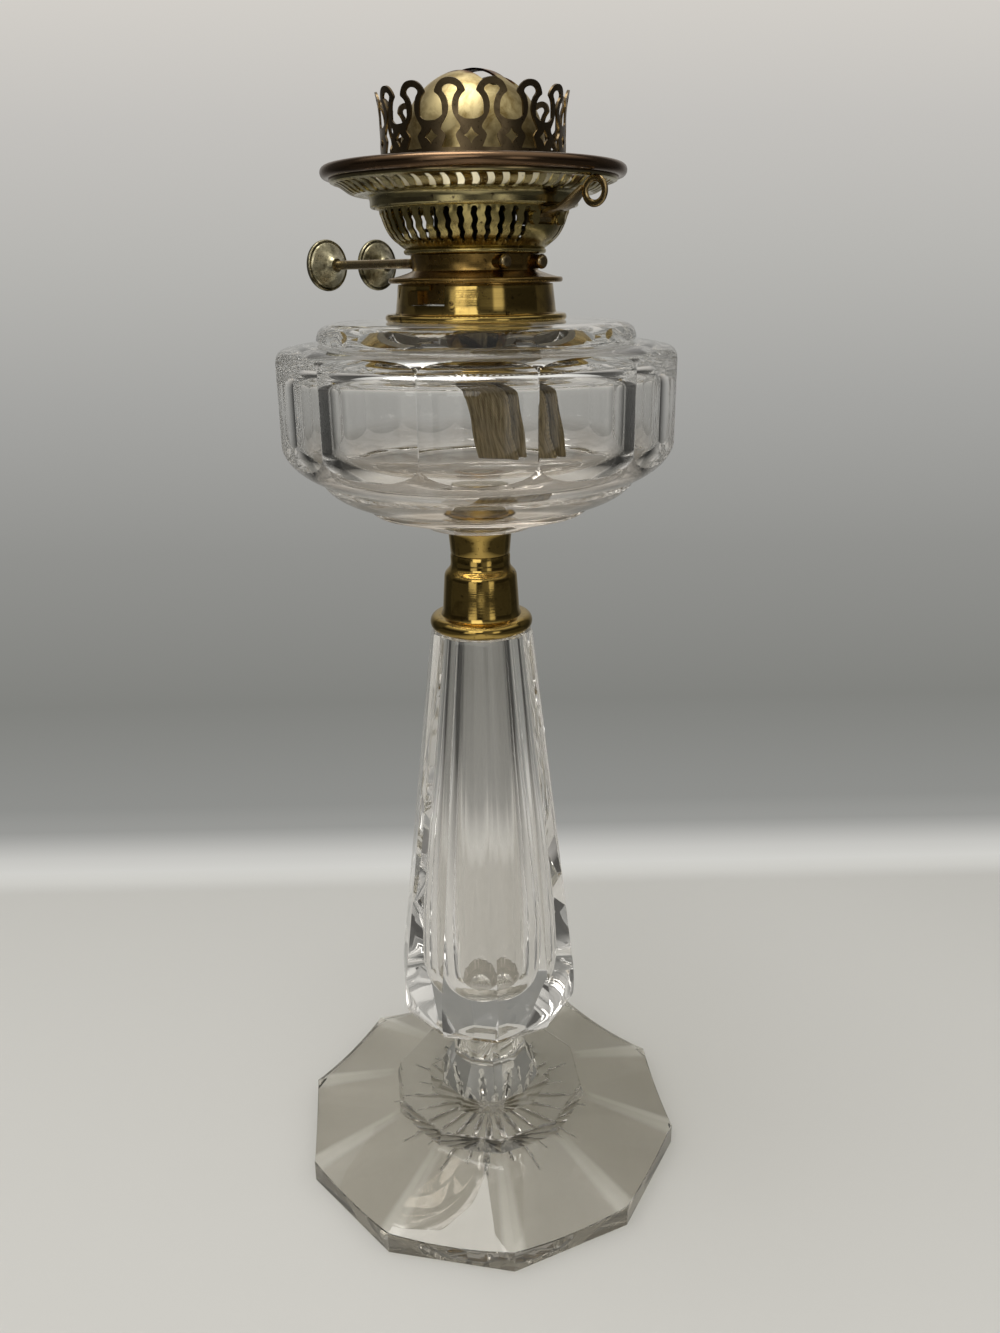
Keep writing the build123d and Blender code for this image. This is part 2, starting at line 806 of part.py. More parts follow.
for name, side, reach in (("front", 1, front_reach), ("rear", -1, rear_reach)):
    with BuildPart() as tube:
        with BuildSketch(burner_plane(seat - tube_dip)):
            with Locations((0, side * tube_offset)):
                SlotOverall(tube_outside, tube_outside_depth)
                SlotOverall(tube_breadth, tube_depth, mode=Mode.SUBTRACT)
        extrude(amount=tube_length)
        # windows that let the toothed wheels reach the wick
        with BuildSketch(burner_plane(spindle_height - wheel_radius - fit_gap)):
            with GridLocations(wheel_pitch, 1, wheel_count, 1):
                with Locations((0, side * (tube_offset + tube_depth / 2 + tube_wall))):
                    Rectangle(wheel_width + 2 * fit_gap, 3 * tube_wall)
        extrude(amount=2 * (wheel_radius + fit_gap), mode=Mode.SUBTRACT)
    finish(tube.part, f"wick_tube_{name}")

    # flat cotton band, straight in its tube and hanging over to the back right below it
    wick_top = tube_top + wick_stand
    bend_start = seat - tube_dip - wick_straight
    bend = degrees((wick_length - (wick_top - bend_start)) / wick_curve)
    with BuildPart() as wick:
        with BuildSketch(edge_on):
            with BuildLine() as band:
                Line((side * tube_offset, wick_top), (side * tube_offset, bend_start))
                JernArc((side * tube_offset, bend_start), (0, -1), wick_curve, -bend)
            trace(band.line, line_width=wick_thickness)
        extrude(amount=wick_width / 2, both=True)
    finish(wick.part, f"wick_{name}")

    head_start = -bush_inner - bush_length - fit_gap
    with BuildPart() as spindle:
        with BuildSketch(across.offset(head_start)):
            with Locations((-side * spindle_offset, 0)):
                Circle(spindle_radius)
        extrude(amount=reach - head_start)
        with BuildSketch(across.offset(head_start)):
            with Locations((-side * spindle_offset, 0)):
                Circle(head_radius)
        extrude(amount=-head_length)
        fillet(spindle.faces().sort_by(Axis(up, heading(spindle_angle)))[0].edges(), 0.8)
    finish(spindle.part, f"spindle_{name}")

    with BuildPart() as wheels:
        for wheel in range(wheel_count):
            middle = (wheel - (wheel_count - 1) / 2) * wheel_pitch
            with BuildSketch(across.offset(middle - wheel_width / 2)):
                with Locations((-side * spindle_offset, 0)):
                    points = []
                    for tooth in range(wheel_teeth):
                        tip = radians(tooth * tooth_step)
                        gap = radians((tooth + 0.5) * tooth_step)
                        points.append((wheel_radius * cos(tip), wheel_radius * sin(tip)))
                        points.append((root_radius * cos(gap), root_radius * sin(gap)))
                    Polygon(*points)
                    Circle(spindle_radius, mode=Mode.SUBTRACT)
            extrude(amount=wheel_width)
    finish(wheels.part, f"wick_wheels_{name}")

    rim_face = reach - knob_dome
    rim_back = rim_face - knob_rim
    knob_back = rim_back - knob_depth
    # the outer face is a shallow dome, centred on the spindle
    face_radius = knob_radius - 0.6
    face_rise = knob_dome + 0.5
    face_curve = (face_radius**2 + face_rise**2) / (2 * face_rise)
    face_middle = reach + 0.5 - face_curve + sqrt(face_curve**2 - face_radius**2 / 4)
    # local x is the knob's radius and local y runs along the spindle
    knob_section = Plane(
        origin=heading(spindle_angle + 90, side * spindle_offset, spindle_height),
        x_dir=up,
        z_dir=heading(spindle_angle + 90),
    )
    with BuildPart() as knob:
        with BuildSketch(knob_section):
            with BuildLine():
                Polyline(
                    (spindle_radius, reach),
                    (spindle_radius, knob_back),
                    (knob_hub_radius, knob_back),
                    (knob_hub_radius, knob_back + 0.6),
                )
                ThreePointArc(
                    (knob_hub_radius, knob_back + 0.6),
                    (0.78 * knob_radius, knob_back + 0.40 * knob_depth),
                    (knob_radius - 0.5, rim_back),
                )
                Polyline(
                    (knob_radius - 0.5, rim_back),
                    (knob_radius, rim_back + 0.5),
                    (knob_radius, rim_face - 0.5),
                    (face_radius, rim_face),
                )
                ThreePointArc(
                    (face_radius, rim_face),
                    (face_radius / 2, face_middle),
                    (0, reach + 0.5),
                )
                Polyline((0, reach + 0.5), (0, reach), (spindle_radius, reach))
            make_face()
        revolve(axis=Axis(knob_section.origin, knob_section.y_dir))
    finish(knob.part, f"winder_knob_{name}")

# ---------------------------------------------------------------------------
# Extinguisher: two sleeves on the wick tubes, a yoke and a lever
# ---------------------------------------------------------------------------

half_swing = radians(lever_swing / 2)
nose_r = lever_pivot_radius - lever_arm * cos(half_swing)
nose_z = pin_height - lever_arm * sin(half_swing)
yoke_bottom = nose_z + nose_radius + pin_gap
sleeve_depth = tube_depth + 2 * (tube_wall + sleeve_gap)
sleeve_breadth = tube_breadth + 2 * (tube_wall + sleeve_gap)
sleeve_outside = sleeve_breadth + 2 * sleeve_wall
sleeve_outside_depth = sleeve_depth + 2 * sleeve_wall
sleeve_lift = 2 * lever_arm * sin(half_swing)

for name, side in (("front", 1), ("rear", -1)):
    with BuildPart() as sleeve:
        with BuildSketch(burner_plane(yoke_bottom)):
            with Locations((0, side * tube_offset)):
                SlotOverall(sleeve_outside, sleeve_outside_depth)
                SlotOverall(sleeve_breadth, sleeve_depth, mode=Mode.SUBTRACT)
        extrude(amount=sleeve_length)
    finish(sleeve.part, f"extinguisher_sleeve_{name}")

with BuildPart() as yoke:
    with BuildSketch(burner_plane(yoke_bottom)):
        RectangleRounded(yoke_length, yoke_width, 3.0)
        with Locations((-(yoke_length / 2 + tongue_reach) / 2, 0)):
            Rectangle(tongue_reach - yoke_length / 2 + 2.0, tongue_width)
        with Locations((0, tube_offset), (0, -tube_offset)):
            SlotOverall(sleeve_outside, sleeve_outside_depth, mode=Mode.SUBTRACT)
    extrude(amount=yoke_thickness)
finish(yoke.part, "extinguisher_yoke")

half_strap = lever_thickness / 2
ring_r = lever_pivot_radius + lever_ring_reach
ring_z = pin_height + lever_ring_rise
with BuildPart() as lever:
    # cranked arm inside the basket, with a round nose under the yoke's tongue
    with BuildSketch(radial(lever_angle)):
        with BuildLine():
            arm_path = Polyline(
                (lever_pivot_radius, pin_height),
                (nose_r + 0.42 * lever_arm, nose_z + 0.1),
                (nose_r, nose_z - 0.4),
            )
        trace(arm_path, line_width=lever_thickness)
        with Locations((nose_r, nose_z)):
            Circle(nose_radius)
    extrude(amount=lever_arm_width / 2, both=True)
    # broad strap outside, which follows the underside of the tray
    with BuildSketch(radial(lever_angle)):
        with BuildLine():
            strap_path = Polyline(
                (lever_pivot_radius, pin_height),
                (lever_pivot_radius + 3.4, pin_height + 2.1),
                (lever_pivot_radius + 7.6, pin_height + 3.1),
                (ring_r - lever_ring_radius - 0.2, ring_z + 1.4),
            )
        trace(strap_path, line_width=lever_thickness)
        with Locations((lever_pivot_radius, pin_height)):
            Circle(hub_radius)
    extrude(amount=lever_width / 2, both=True)
    # finger ring
    with BuildSketch(radial(lever_angle)):
        with Locations((ring_r, ring_z)):
            Circle(lever_ring_radius)
    extrude(amount=half_strap + 0.1, both=True)
    with BuildSketch(radial(lever_angle)):
        with Locations((ring_r, ring_z)):
            Circle(lever_ring_hole)
        with Locations((lever_pivot_radius, pin_height)):
            Circle(pin_radius + pin_gap)
    extrude(amount=lever_width, both=True, mode=Mode.SUBTRACT)
finish(lever.part, "extinguisher_lever")

ear_start = lever_width / 2 + fit_gap
pin_reach = ear_start + ear_thickness
with BuildPart() as lever_pin:
    with BuildSketch(radial(lever_angle)):
        with Locations((lever_pivot_radius, pin_height)):
            Circle(pin_radius)
    extrude(amount=pin_reach, both=True)
finish(lever_pin.part, "lever_pin")

with BuildPart() as bracket:
    for side in (1, -1):
        tangent = radial(lever_angle).offset(side * ear_start)
        with BuildSketch(tangent):
            with Locations((lever_pivot_radius, pin_height)):
                Rectangle(ear_width, ear_height)
        extrude(amount=side * ear_thickness)
        with BuildSketch(tangent):
            with Locations((lever_pivot_radius, pin_height)):
                Rectangle(ear_foot, ear_height)
        extrude(amount=side * (rivet_offset + rivet_head_radius - ear_start))
    # the feet follow the inside of the bowl
    with BuildSketch(Plane.XZ):
        with BuildLine():
            Polyline((0, wall_low[1]), wall_low)
            ThreePointArc(wall_low, wall_mid, wall_high)
            Polyline(wall_high, (0, wall_high[1]), (0, wall_low[1]))
        make_face()
    revolve(mode=Mode.INTERSECT)
    with BuildSketch(radial(lever_angle)):
        with Locations((lever_pivot_radius, pin_height)):
            Circle(pin_radius)
    extrude(amount=pin_reach, both=True, mode=Mode.SUBTRACT)
    for side in (1, -1):
        with BuildSketch(upright(lever_angle, basket_ring_radius)):
            with Locations((side * rivet_offset, pin_height)):
                Circle(rivet_radius)
        extrude(amount=basket_radius, mode=Mode.SUBTRACT)
finish(bracket.part, "lever_bracket")

with BuildPart() as rivets:
    for side in (1, -1):
        with BuildSketch(upright(lever_angle, lever_pivot_radius)):
            with Locations((side * rivet_offset, pin_height)):
                Circle(rivet_head_radius)
        extrude(amount=rivet_reach)
    with BuildSketch(Plane.XZ):
        with BuildLine():
            Polyline((0, bowl_low[1]), bowl_low)
            ThreePointArc(bowl_low, bowl_mid, bowl_high)
            Polyline(bowl_high, (0, bowl_high[1]), (0, bowl_low[1]))
        make_face()
    revolve(mode=Mode.SUBTRACT)
    for side in (1, -1):
        with BuildSketch(upright(lever_angle, lever_pivot_radius - hub_radius / 2)):
            with Locations((side * rivet_offset, pin_height)):
                Circle(rivet_radius)
        extrude(amount=rivet_reach + hub_radius / 2 - 0.4)
finish(rivets.part, "bracket_rivets")

# ---------------------------------------------------------------------------
# Gallery: shade tray, chimney plate, crown and dome
# ---------------------------------------------------------------------------

bead_middle = tray_radius - tray_bead_radius
step_top = step_bottom + step_height
cavetto_top = step_top + cavetto_height
cup_radius = step_radius - sheet

with BuildPart() as tray:
    with BuildSketch(Plane.XZ):
        with BuildLine():
            Polyline(
                (step_radius - 0.6, step_bottom),
                (step_radius, step_bottom + 0.8),
                (step_radius, step_top),
            )
            ThreePointArc(
                (step_radius, step_top),
                (step_radius + 1.2, step_top + 1.4),
                (cavetto_radius, cavetto_top),
            )
            ThreePointArc(
                (cavetto_radius, cavetto_top),
                (cavetto_radius + 5.6, cavetto_top + 2.0),
                (bead_middle - 1.2, tray_height - tray_bead_radius + 0.4),
            )
            Polyline(
                (bead_middle - 1.2, tray_height - tray_bead_radius + 0.4),
                (bead_middle - 1.2 - sheet, tray_height - tray_bead_radius + 1.0),
            )
            ThreePointArc(
                (bead_middle - 1.2 - sheet, tray_height - tray_bead_radius + 1.0),
                (cavetto_radius + 5.1, cavetto_top + 2.8),
                (cavetto_radius - 0.6, cavetto_top + 0.8),
            )
            ThreePointArc(
                (cavetto_radius - 0.6, cavetto_top + 0.8),
                (step_radius + 0.4, step_top + 1.9),
                (cup_radius, step_top + 0.2),
            )
            Polyline(
                (cup_radius, step_top + 0.2),
                (cup_radius, step_bottom),
                (step_radius - 0.6, step_bottom),
            )
        make_face()
    revolve()
    slot_step = 360 / tray_slots
    for slot in range(tray_slots):
        angle = slot * slot_step
        half_in = degrees(0.36 * tray_slot_width / tray_slot_inner)
        half_out = degrees(0.5 * tray_slot_width / tray_slot_outer)
        with BuildSketch(Plane.XY.offset(step_top)):
            Polygon(
                heading(angle - half_in, tray_slot_inner)[:2],
                heading(angle + half_in, tray_slot_inner)[:2],
                heading(angle + half_out, tray_slot_outer)[:2],
                heading(angle - half_out, tray_slot_outer)[:2],
            )
        extrude(amount=tray_height - step_top, mode=Mode.SUBTRACT)
    with BuildSketch(Plane.XZ):
        with Locations((bead_middle, tray_height)):
            Circle(tray_bead_radius)
    revolve()
finish(tray.part, "shade_tray")

shoulder_top = plate_top - 1.2
with BuildPart() as plate:
    with BuildSketch(Plane.XZ):
        Polygon(
            (cup_radius, rim_top + running_gap),
            (cup_radius, cavetto_top),
            (plate_shoulder_radius, shoulder_top),
            (plate_shoulder_radius - 0.8, plate_top),
            (plate_hole_radius, plate_top),
            (plate_hole_radius, plate_top - sheet),
            (plate_shoulder_radius - sheet - 0.8, plate_top - sheet),
            (plate_shoulder_radius - sheet, shoulder_top - 0.2),
            (cup_radius - sheet, cavetto_top - 0.2),
            (cup_radius - sheet, rim_top + running_gap),
        )
    revolve()
finish(plate.part, "chimney_plate")

lobe_step = 360 / crown_lobes
crown_start = -90 - 0.04 * lobe_step  # direction of the notch nearest the front
with BuildPart() as crown:
    with BuildSketch(Plane.XY.offset(plate_top)):
        Circle(crown_radius)
        Circle(crown_radius - crown_wall, mode=Mode.SUBTRACT)
    extrude(amount=crown_height)
    notch_z = plate_top + notch_height
    diamond_z = plate_top + diamond_height
    lobe_top = plate_top + crown_height
    for lobe in range(crown_lobes):
        angle = crown_start + lobe * lobe_step
        # round notch, open at the top, and the small diamond under it
        with BuildSketch(upright(angle, crown_radius - 4)):
            with Locations((0, notch_z)):
                Circle(notch_radius)
            with Locations((0, (notch_z + lobe_top) / 2 + 1)):
                Rectangle(notch_mouth, lobe_top - notch_z + 2)
            Polygon(
                (0, diamond_z - diamond_half),
                (diamond_half, diamond_z),
                (0, diamond_z + diamond_half),
                (-diamond_half, diamond_z),
            )
        extrude(amount=8, mode=Mode.SUBTRACT)
        # vase-shaped hole in the middle of each lobe
        with BuildSketch(upright(angle + lobe_step / 2, crown_radius - 4)):
            with BuildLine():
                Polyline(
                    (vase_head[0], plate_top + vase_head[1]),
                    (vase_neck[0], plate_top + vase_neck[1]),
                    (vase_belly[0], plate_top + vase_belly[1]),
                    (vase_pinch[0], plate_top + vase_pinch[1]),
                    (vase_foot[0], plate_top + vase_foot[1]),
                    (-vase_foot[0], plate_top + vase_foot[1]),
                    (-vase_pinch[0], plate_top + vase_pinch[1]),
                    (-vase_belly[0], plate_top + vase_belly[1]),
                    (-vase_neck[0], plate_top + vase_neck[1]),
                    (-vase_head[0], plate_top + vase_head[1]),
                )
                ThreePointArc(
                    (-vase_head[0], plate_top + vase_head[1]),
                    (0, plate_top + vase_crest),
                    (vase_head[0], plate_top + vase_head[1]),
                )
            make_face()
        extrude(amount=8, mode=Mode.SUBTRACT)
finish(crown.part, "chimney_crown")

dome_inner = dome_radius - crown_wall
spring_line = plate_top + dome_rise - dome_radius
with BuildPart() as dome:
    with BuildSketch(Plane.XZ):
        with BuildLine():
            Polyline(
                (0, spring_line + dome_inner),
                (0, spring_line + dome_radius),
            )
            ThreePointArc(
                (0, spring_line + dome_radius),
                (dome_radius * cos(radians(45)), spring_line + dome_radius * sin(radians(45))),
                (dome_radius, spring_line),
            )
            Polyline(
                (dome_radius, spring_line),
                (dome_radius, plate_top + crown_wall),
                (dome_radius + dome_flange, plate_top + crown_wall),
                (dome_radius + dome_flange, plate_top),
                (dome_inner, plate_top),
                (dome_inner, spring_line),
            )
            ThreePointArc(
                (dome_inner, spring_line),
                (dome_inner * cos(radians(45)), spring_line + dome_inner * sin(radians(45))),
                (0, spring_line + dome_inner),
            )
        make_face()
    revolve()
    # two flame slots over the wicks
    with BuildSketch(burner_plane(spring_line)):
        with Locations((0, tube_offset), (0, -tube_offset)):
            SlotOverall(slot_length, slot_width)
    extrude(amount=dome_radius, mode=Mode.SUBTRACT)
finish(dome.part, "flame_dome")

print(f"lamp height {spring_line + dome_radius:.1f}, tube top {tube_top:.1f}, seat {seat:.1f}")
print(f"spindle height {spindle_height:.2f}, sleeve lift {sleeve_lift:.2f}")
print(f"lever pivot radius {lever_pivot_radius:.2f}, height {pin_height:.2f}, plate {plate_top:.2f}")
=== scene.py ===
"""A cut-glass table oil lamp with a brass burner for two flat wicks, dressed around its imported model."""

from math import atan2, cos, degrees, floor, hypot, pi, radians, sin, tan

import bmesh
import bpy
from mathutils import Matrix, Vector
from mathutils.geometry import interpolate_bezier


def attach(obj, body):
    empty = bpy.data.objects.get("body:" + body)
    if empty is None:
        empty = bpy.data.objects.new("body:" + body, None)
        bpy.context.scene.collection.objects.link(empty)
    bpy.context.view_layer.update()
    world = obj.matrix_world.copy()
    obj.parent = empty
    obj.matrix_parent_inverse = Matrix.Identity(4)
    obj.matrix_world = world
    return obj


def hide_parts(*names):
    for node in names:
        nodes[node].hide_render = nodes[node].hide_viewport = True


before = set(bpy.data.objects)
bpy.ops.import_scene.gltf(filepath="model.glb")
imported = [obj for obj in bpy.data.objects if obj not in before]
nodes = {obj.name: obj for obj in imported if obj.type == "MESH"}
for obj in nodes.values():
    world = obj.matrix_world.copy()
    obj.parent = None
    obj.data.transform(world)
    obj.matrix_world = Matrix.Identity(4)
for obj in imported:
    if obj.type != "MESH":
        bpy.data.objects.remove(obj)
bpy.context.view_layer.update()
mm = 0.001

# ---------------------------------------------------------------------------
# Camera
# A hand-held view from just above the font, tipped down so that the foot is
# seen from above and the shade tray a little from below.
# ---------------------------------------------------------------------------

pan, tilt, roll = radians(1.0), radians(19.87), radians(-0.66)
ahead = Vector((sin(pan) * cos(tilt), cos(pan) * cos(tilt), -sin(tilt)))
level = Vector((cos(pan), -sin(pan), 0))
above = level.cross(ahead)
camera_right = cos(roll) * level + sin(roll) * above
camera_up = -sin(roll) * level + cos(roll) * above
camera_data = bpy.data.cameras.new("camera")
camera_data.sensor_width = 36
camera_data.lens = 1080 * 36 / 1333
camera = bpy.data.objects.new("camera", camera_data)
turn = Matrix((camera_right, camera_up, -ahead)).transposed()
camera.matrix_world = Matrix.Translation((0, -0.4302, 0.3957)) @ turn.to_4x4()
bpy.context.scene.collection.objects.link(camera)
bpy.context.scene.camera = camera
bpy.context.scene.view_settings.view_transform = "Standard"
# light turns round many times inside thick cut glass
light_paths = bpy.context.scene.cycles
light_paths.max_bounces = 32
light_paths.glossy_bounces = 24
light_paths.transmission_bounces = 24

# ---------------------------------------------------------------------------
# Table and wall
# One sheet of pale paper: flat under the lamp, swept up close behind it. The
# wall glows with painted light: bright at the top, falling to a mid grey just
# above the sweep, with a lighter band where the sweep turns up.
# ---------------------------------------------------------------------------


def add_piece(name, bm, material):
    """Makes an object of a finished bmesh, with its place in its mesh."""
    mesh = bpy.data.meshes.new(name)
    bm.to_mesh(mesh)
    bm.free()
    mesh.materials.append(material)
    piece = bpy.data.objects.new(name, mesh)
    bpy.context.scene.collection.objects.link(piece)
    return piece


def add_node(tree, kind, inputs=None, **settings):
    """Adds a shader node, sets its properties, then gives each named input a value or a link."""
    node = tree.nodes.new("ShaderNode" + kind)
    for name, value in settings.items():
        setattr(node, name, value)
    for name, value in (inputs or {}).items():
        if isinstance(value, bpy.types.Node):
            value = value.outputs[0]
        if isinstance(value, bpy.types.NodeSocket):
            tree.links.new(value, node.inputs[name])
        else:
            node.inputs[name].default_value = value
    return node


def object_axes(tree):
    """The node that gives an object's own coordinates, and one that splits its place into X, Y and Z."""
    place = add_node(tree, "TexCoord")
    return place, add_node(tree, "SeparateXYZ", {0: place.outputs["Object"]})


def map_range(tree, value, low, high, to_low=0, to_high=1):
    """Spreads the values between low and high over another range."""
    ends = {"Value": value, "From Min": low, "From Max": high, "To Min": to_low, "To Max": to_high}
    return add_node(tree, "MapRange", ends)


def calculate(tree, operation, *values):
    """One step of arithmetic on numbers, nodes or sockets."""
    return add_node(tree, "Math", dict(enumerate(values)), operation=operation)


def mix_colours(tree, factor, first, second, blend="MIX"):
    """The colour socket of two colours mixed."""
    colours = {"Factor": factor, "A": first, "B": second}
    return add_node(tree, "Mix", colours, data_type="RGBA", blend_type=blend).outputs["Result"]


def blank_material(name):
    """A material with only its output node."""
    material = bpy.data.materials.new(name)
    material.use_nodes = True
    material.node_tree.nodes.clear()
    return material, material.node_tree, add_node(material.node_tree, "OutputMaterial")


def colour_ramp(tree, value, stops):
    """A colour ramp from (position, colour) pairs, with the value it reads."""
    ramp = add_node(tree, "ValToRGB", {0: value})
    while len(ramp.color_ramp.elements) < len(stops):
        ramp.color_ramp.elements.new(0.5)
    for element, (position, colour) in zip(ramp.color_ramp.elements, stops):
        element.position = position
        element.color = (*colour, 1)
    return ramp


paper_front, paper_width, paper_gap = -2.2, 5, 0.0003
sweep_back, sweep_radius, wall_height = 0.31, 0.03, 1.4
bm = bmesh.new()
last = bm.verts.new((0, paper_front, 0))
outline = [(-0.5, 0), (0.1, 0), (sweep_back, 0)]
for step in range(1, 9):
    angle = radians(step * 90 / 8)
    outline.append((sweep_back + sweep_radius * sin(angle), sweep_radius * (1 - cos(angle))))
outline += [(sweep_back + sweep_radius, 0.6), (sweep_back + sweep_radius, wall_height)]
for y, z in outline:
    corner = bm.verts.new((0, y, z))
    bm.edges.new((last, corner))
    last = corner
bmesh.ops.translate(bm, vec=(-paper_width / 2, 0, 0), verts=bm.verts)
swept = bmesh.ops.extrude_edge_only(bm, edges=bm.edges)["geom"]
bmesh.ops.translate(
    bm, vec=(paper_width, 0, 0), verts=[v for v in swept if isinstance(v, bmesh.types.BMVert)]
)
for face in bm.faces:
    face.smooth = True
    if face.normal.z < 0 or (abs(face.normal.z) < 0.01 and face.normal.y > 0):
        face.normal_flip()
bmesh.ops.translate(bm, vec=(0, 0, -paper_gap), verts=bm.verts)

paper, tree, output = blank_material("pale_paper")
place, axes = object_axes(tree)
# the way up the sheet: 90 mm of table in front of the sweep, then the wall
far_table = map_range(tree, axes.outputs["Y"], sweep_back - 0.09, sweep_back, 0, 0.09)
way_up = calculate(tree, "ADD", far_table, axes.outputs["Z"])
height = map_range(tree, way_up, 0, 0.7)
# painted light: the sweep and the wall glow in these greys instead of taking light from the lamps
wall_painted_light = colour_ramp(tree, height, [
    (0.0, (0.64, 0.635, 0.61)),
    (0.02, (0.69, 0.685, 0.65)),
    (0.070, (0.56, 0.555, 0.53)),
    (0.112, (0.37, 0.37, 0.355)),
    (0.140, (0.272, 0.274, 0.262)),
    (0.257, (0.220, 0.222, 0.208)),
    (0.426, (0.283, 0.283, 0.27)),
    (0.579, (0.376, 0.374, 0.36)),
    (0.717, (0.474, 0.468, 0.446)),
    (0.829, (0.55, 0.535, 0.51)),
    (0.93, (0.645, 0.62, 0.58)),
])
wall_light = add_node(tree, "Emission", {"Color": wall_painted_light})
# metal and glass show only the middle of the sheet, as if it were a narrow roll in a dark room
rays = add_node(tree, "LightPath")
sideways = calculate(tree, "ABSOLUTE", axes.outputs["X"])
beside = map_range(tree, sideways, 0.06, 0.40, 0, 0.90)
beside_glass = map_range(tree, sideways, 0.22, 0.50, 0, 0.92)
either = add_node(
    tree, "Mix", {"Factor": rays.outputs["Is Transmission Ray"], "A": beside, "B": beside_glass},
)
mirroring = calculate(tree, "MULTIPLY", either.outputs["Result"], rays.outputs["Is Glossy Ray"])
# light that has turned many times inside glass comes from all round
few_turns = map_range(tree, rays.outputs["Ray Depth"], 11, 5)
hidden = calculate(tree, "MULTIPLY", mirroring, few_turns)
table_top = add_node(tree, "BsdfPrincipled", {"Base Color": (0.60, 0.595, 0.575, 1), "Roughness": 0.75})
raised = map_range(tree, way_up, 0, 0.03)
sheet_shader = add_node(tree, "MixShader", {0: raised, 1: table_top, 2: wall_light})
black = add_node(tree, "Emission", {"Color": (0.012, 0.012, 0.011, 1)})
mirrored = add_node(tree, "MixShader", {0: hidden, 1: sheet_shader, 2: black})
# the back of the sheet doesn't show, so the lamp can be seen from behind
side = add_node(tree, "NewGeometry")
see_through = add_node(tree, "BsdfTransparent")
one_sided = add_node(tree, "MixShader", {0: side.outputs["Backfacing"], 1: mirrored, 2: see_through})
tree.links.new(one_sided.outputs[0], output.inputs["Surface"])
sheet = add_piece("paper_sweep", bm, paper)

# ---------------------------------------------------------------------------
# Light
# A broad soft panel overhead, a window to the front left and a dim room.
# ---------------------------------------------------------------------------


def soft_panel(name, place, target, width, depth, watts, colour):
    """A rectangular area light that faces its target."""
    data = bpy.data.lights.new(name, "AREA")
    data.shape = "RECTANGLE"
    data.size, data.size_y = width, depth
    data.energy = watts
    data.color = colour
    lamp = bpy.data.objects.new(name, data)
    lamp.location = place
    lamp.rotation_euler = (Vector(target) - Vector(place)).to_track_quat("-Z", "Y").to_euler()
    bpy.context.scene.collection.objects.link(lamp)


soft_panel("overhead_panel", (-0.25, -0.15, 1.7), (0, 0, 0.2), 0.9, 0.7, 10, (1, 0.985, 0.95))
soft_panel("front_panel", (-0.5, -2.0, 1.3), (0, 0, 0.2), 1.2, 0.9, 6, (1, 0.98, 0.94))

world = bpy.data.worlds.new("room")
bpy.context.scene.world = world
world.use_nodes = True
tree = world.node_tree
tree.nodes.clear()
output = add_node(tree, "OutputWorld")
place = add_node(tree, "TexCoord")
axes = add_node(tree, "SeparateXYZ", {0: place.outputs["Generated"]})
half = map_range(tree, axes.outputs["Z"], -1, 1)
# what metal mirrors: a dim room with a pale ceiling; what glass shows: the same room, paler low down
dim_room = colour_ramp(tree, half, [
    (0.0, (0.30, 0.29, 0.28)),
    (0.42, (0.10, 0.098, 0.095)),
    (0.50, (0.022, 0.021, 0.020)),
    (0.60, (0.03, 0.029, 0.027)),
    (0.70, (0.10, 0.098, 0.094)),
    (0.84, (0.60, 0.59, 0.56)),
    (1.0, (0.95, 0.94, 0.90)),
])
pale_room = colour_ramp(tree, half, [
    (0.0, (0.50, 0.49, 0.47)),
    (0.47, (0.40, 0.395, 0.38)),
    (0.54, (0.30, 0.30, 0.285)),
    (0.64, (0.40, 0.395, 0.38)),
    (0.80, (0.75, 0.74, 0.71)),
    (1.0, (0.9, 0.89, 0.86)),
])
# two windows and a doorway in front of the lamp, seen in the metal as upright bars
forward = calculate(tree, "MULTIPLY", axes.outputs["Y"], -1)
turned_from_front = calculate(tree, "ARCTAN2", axes.outputs["X"], forward)
wide = map_range(tree, turned_from_front, -pi, pi)
windows = colour_ramp(tree, wide, [
    (0.390, (0, 0, 0)),
    (0.402, (0.80, 0.79, 0.75)),
    (0.456, (0.95, 0.93, 0.88)),
    (0.466, (0.02, 0.02, 0.02)),
    (0.500, (0.02, 0.02, 0.02)),
    (0.520, (0.16, 0.155, 0.14)),
    (0.566, (0.20, 0.195, 0.18)),
    (0.574, (1.0, 0.98, 0.92)),
    (0.606, (0.9, 0.88, 0.83)),
    (0.618, (0, 0, 0)),
])
window_height = colour_ramp(
    tree, half, [(0.36, (0.0, 0.0, 0.0)), (0.40, (1, 1, 1)), (0.60, (1, 1, 1)), (0.68, (0, 0, 0))]
)
panes = mix_colours(tree, 1, windows, window_height, "MULTIPLY")
lit_room = mix_colours(tree, 1, dim_room, panes, "LIGHTEN")
rays = add_node(tree, "LightPath")
room_colour = mix_colours(tree, rays.outputs["Is Glossy Ray"], pale_room, lit_room)
# light that has turned many times inside glass comes from all round
many_turns = map_range(tree, rays.outputs["Ray Depth"], 5, 11)
all_round = mix_colours(tree, many_turns, room_colour, (0.40, 0.40, 0.385, 1))
room = add_node(tree, "Background", {"Color": all_round})
pale = add_node(tree, "Background", {"Color": (0.60, 0.595, 0.57, 1)})
seen = add_node(tree, "MixShader", {0: rays.outputs["Is Camera Ray"], 1: room, 2: pale})
tree.links.new(seen.outputs[0], output.inputs["Surface"])

# ---------------------------------------------------------------------------
# Glass pedestal
# Foot, neck and column are one heavy casting of clear glass. The maker cut ten
# flat sides all the way up and ten hollow panels into the foot, and a star of
# twenty-four mitre rays into its underside. The column is blown hollow.
# ---------------------------------------------------------------------------

foot_sides = 10
foot_turn = radians(-84)


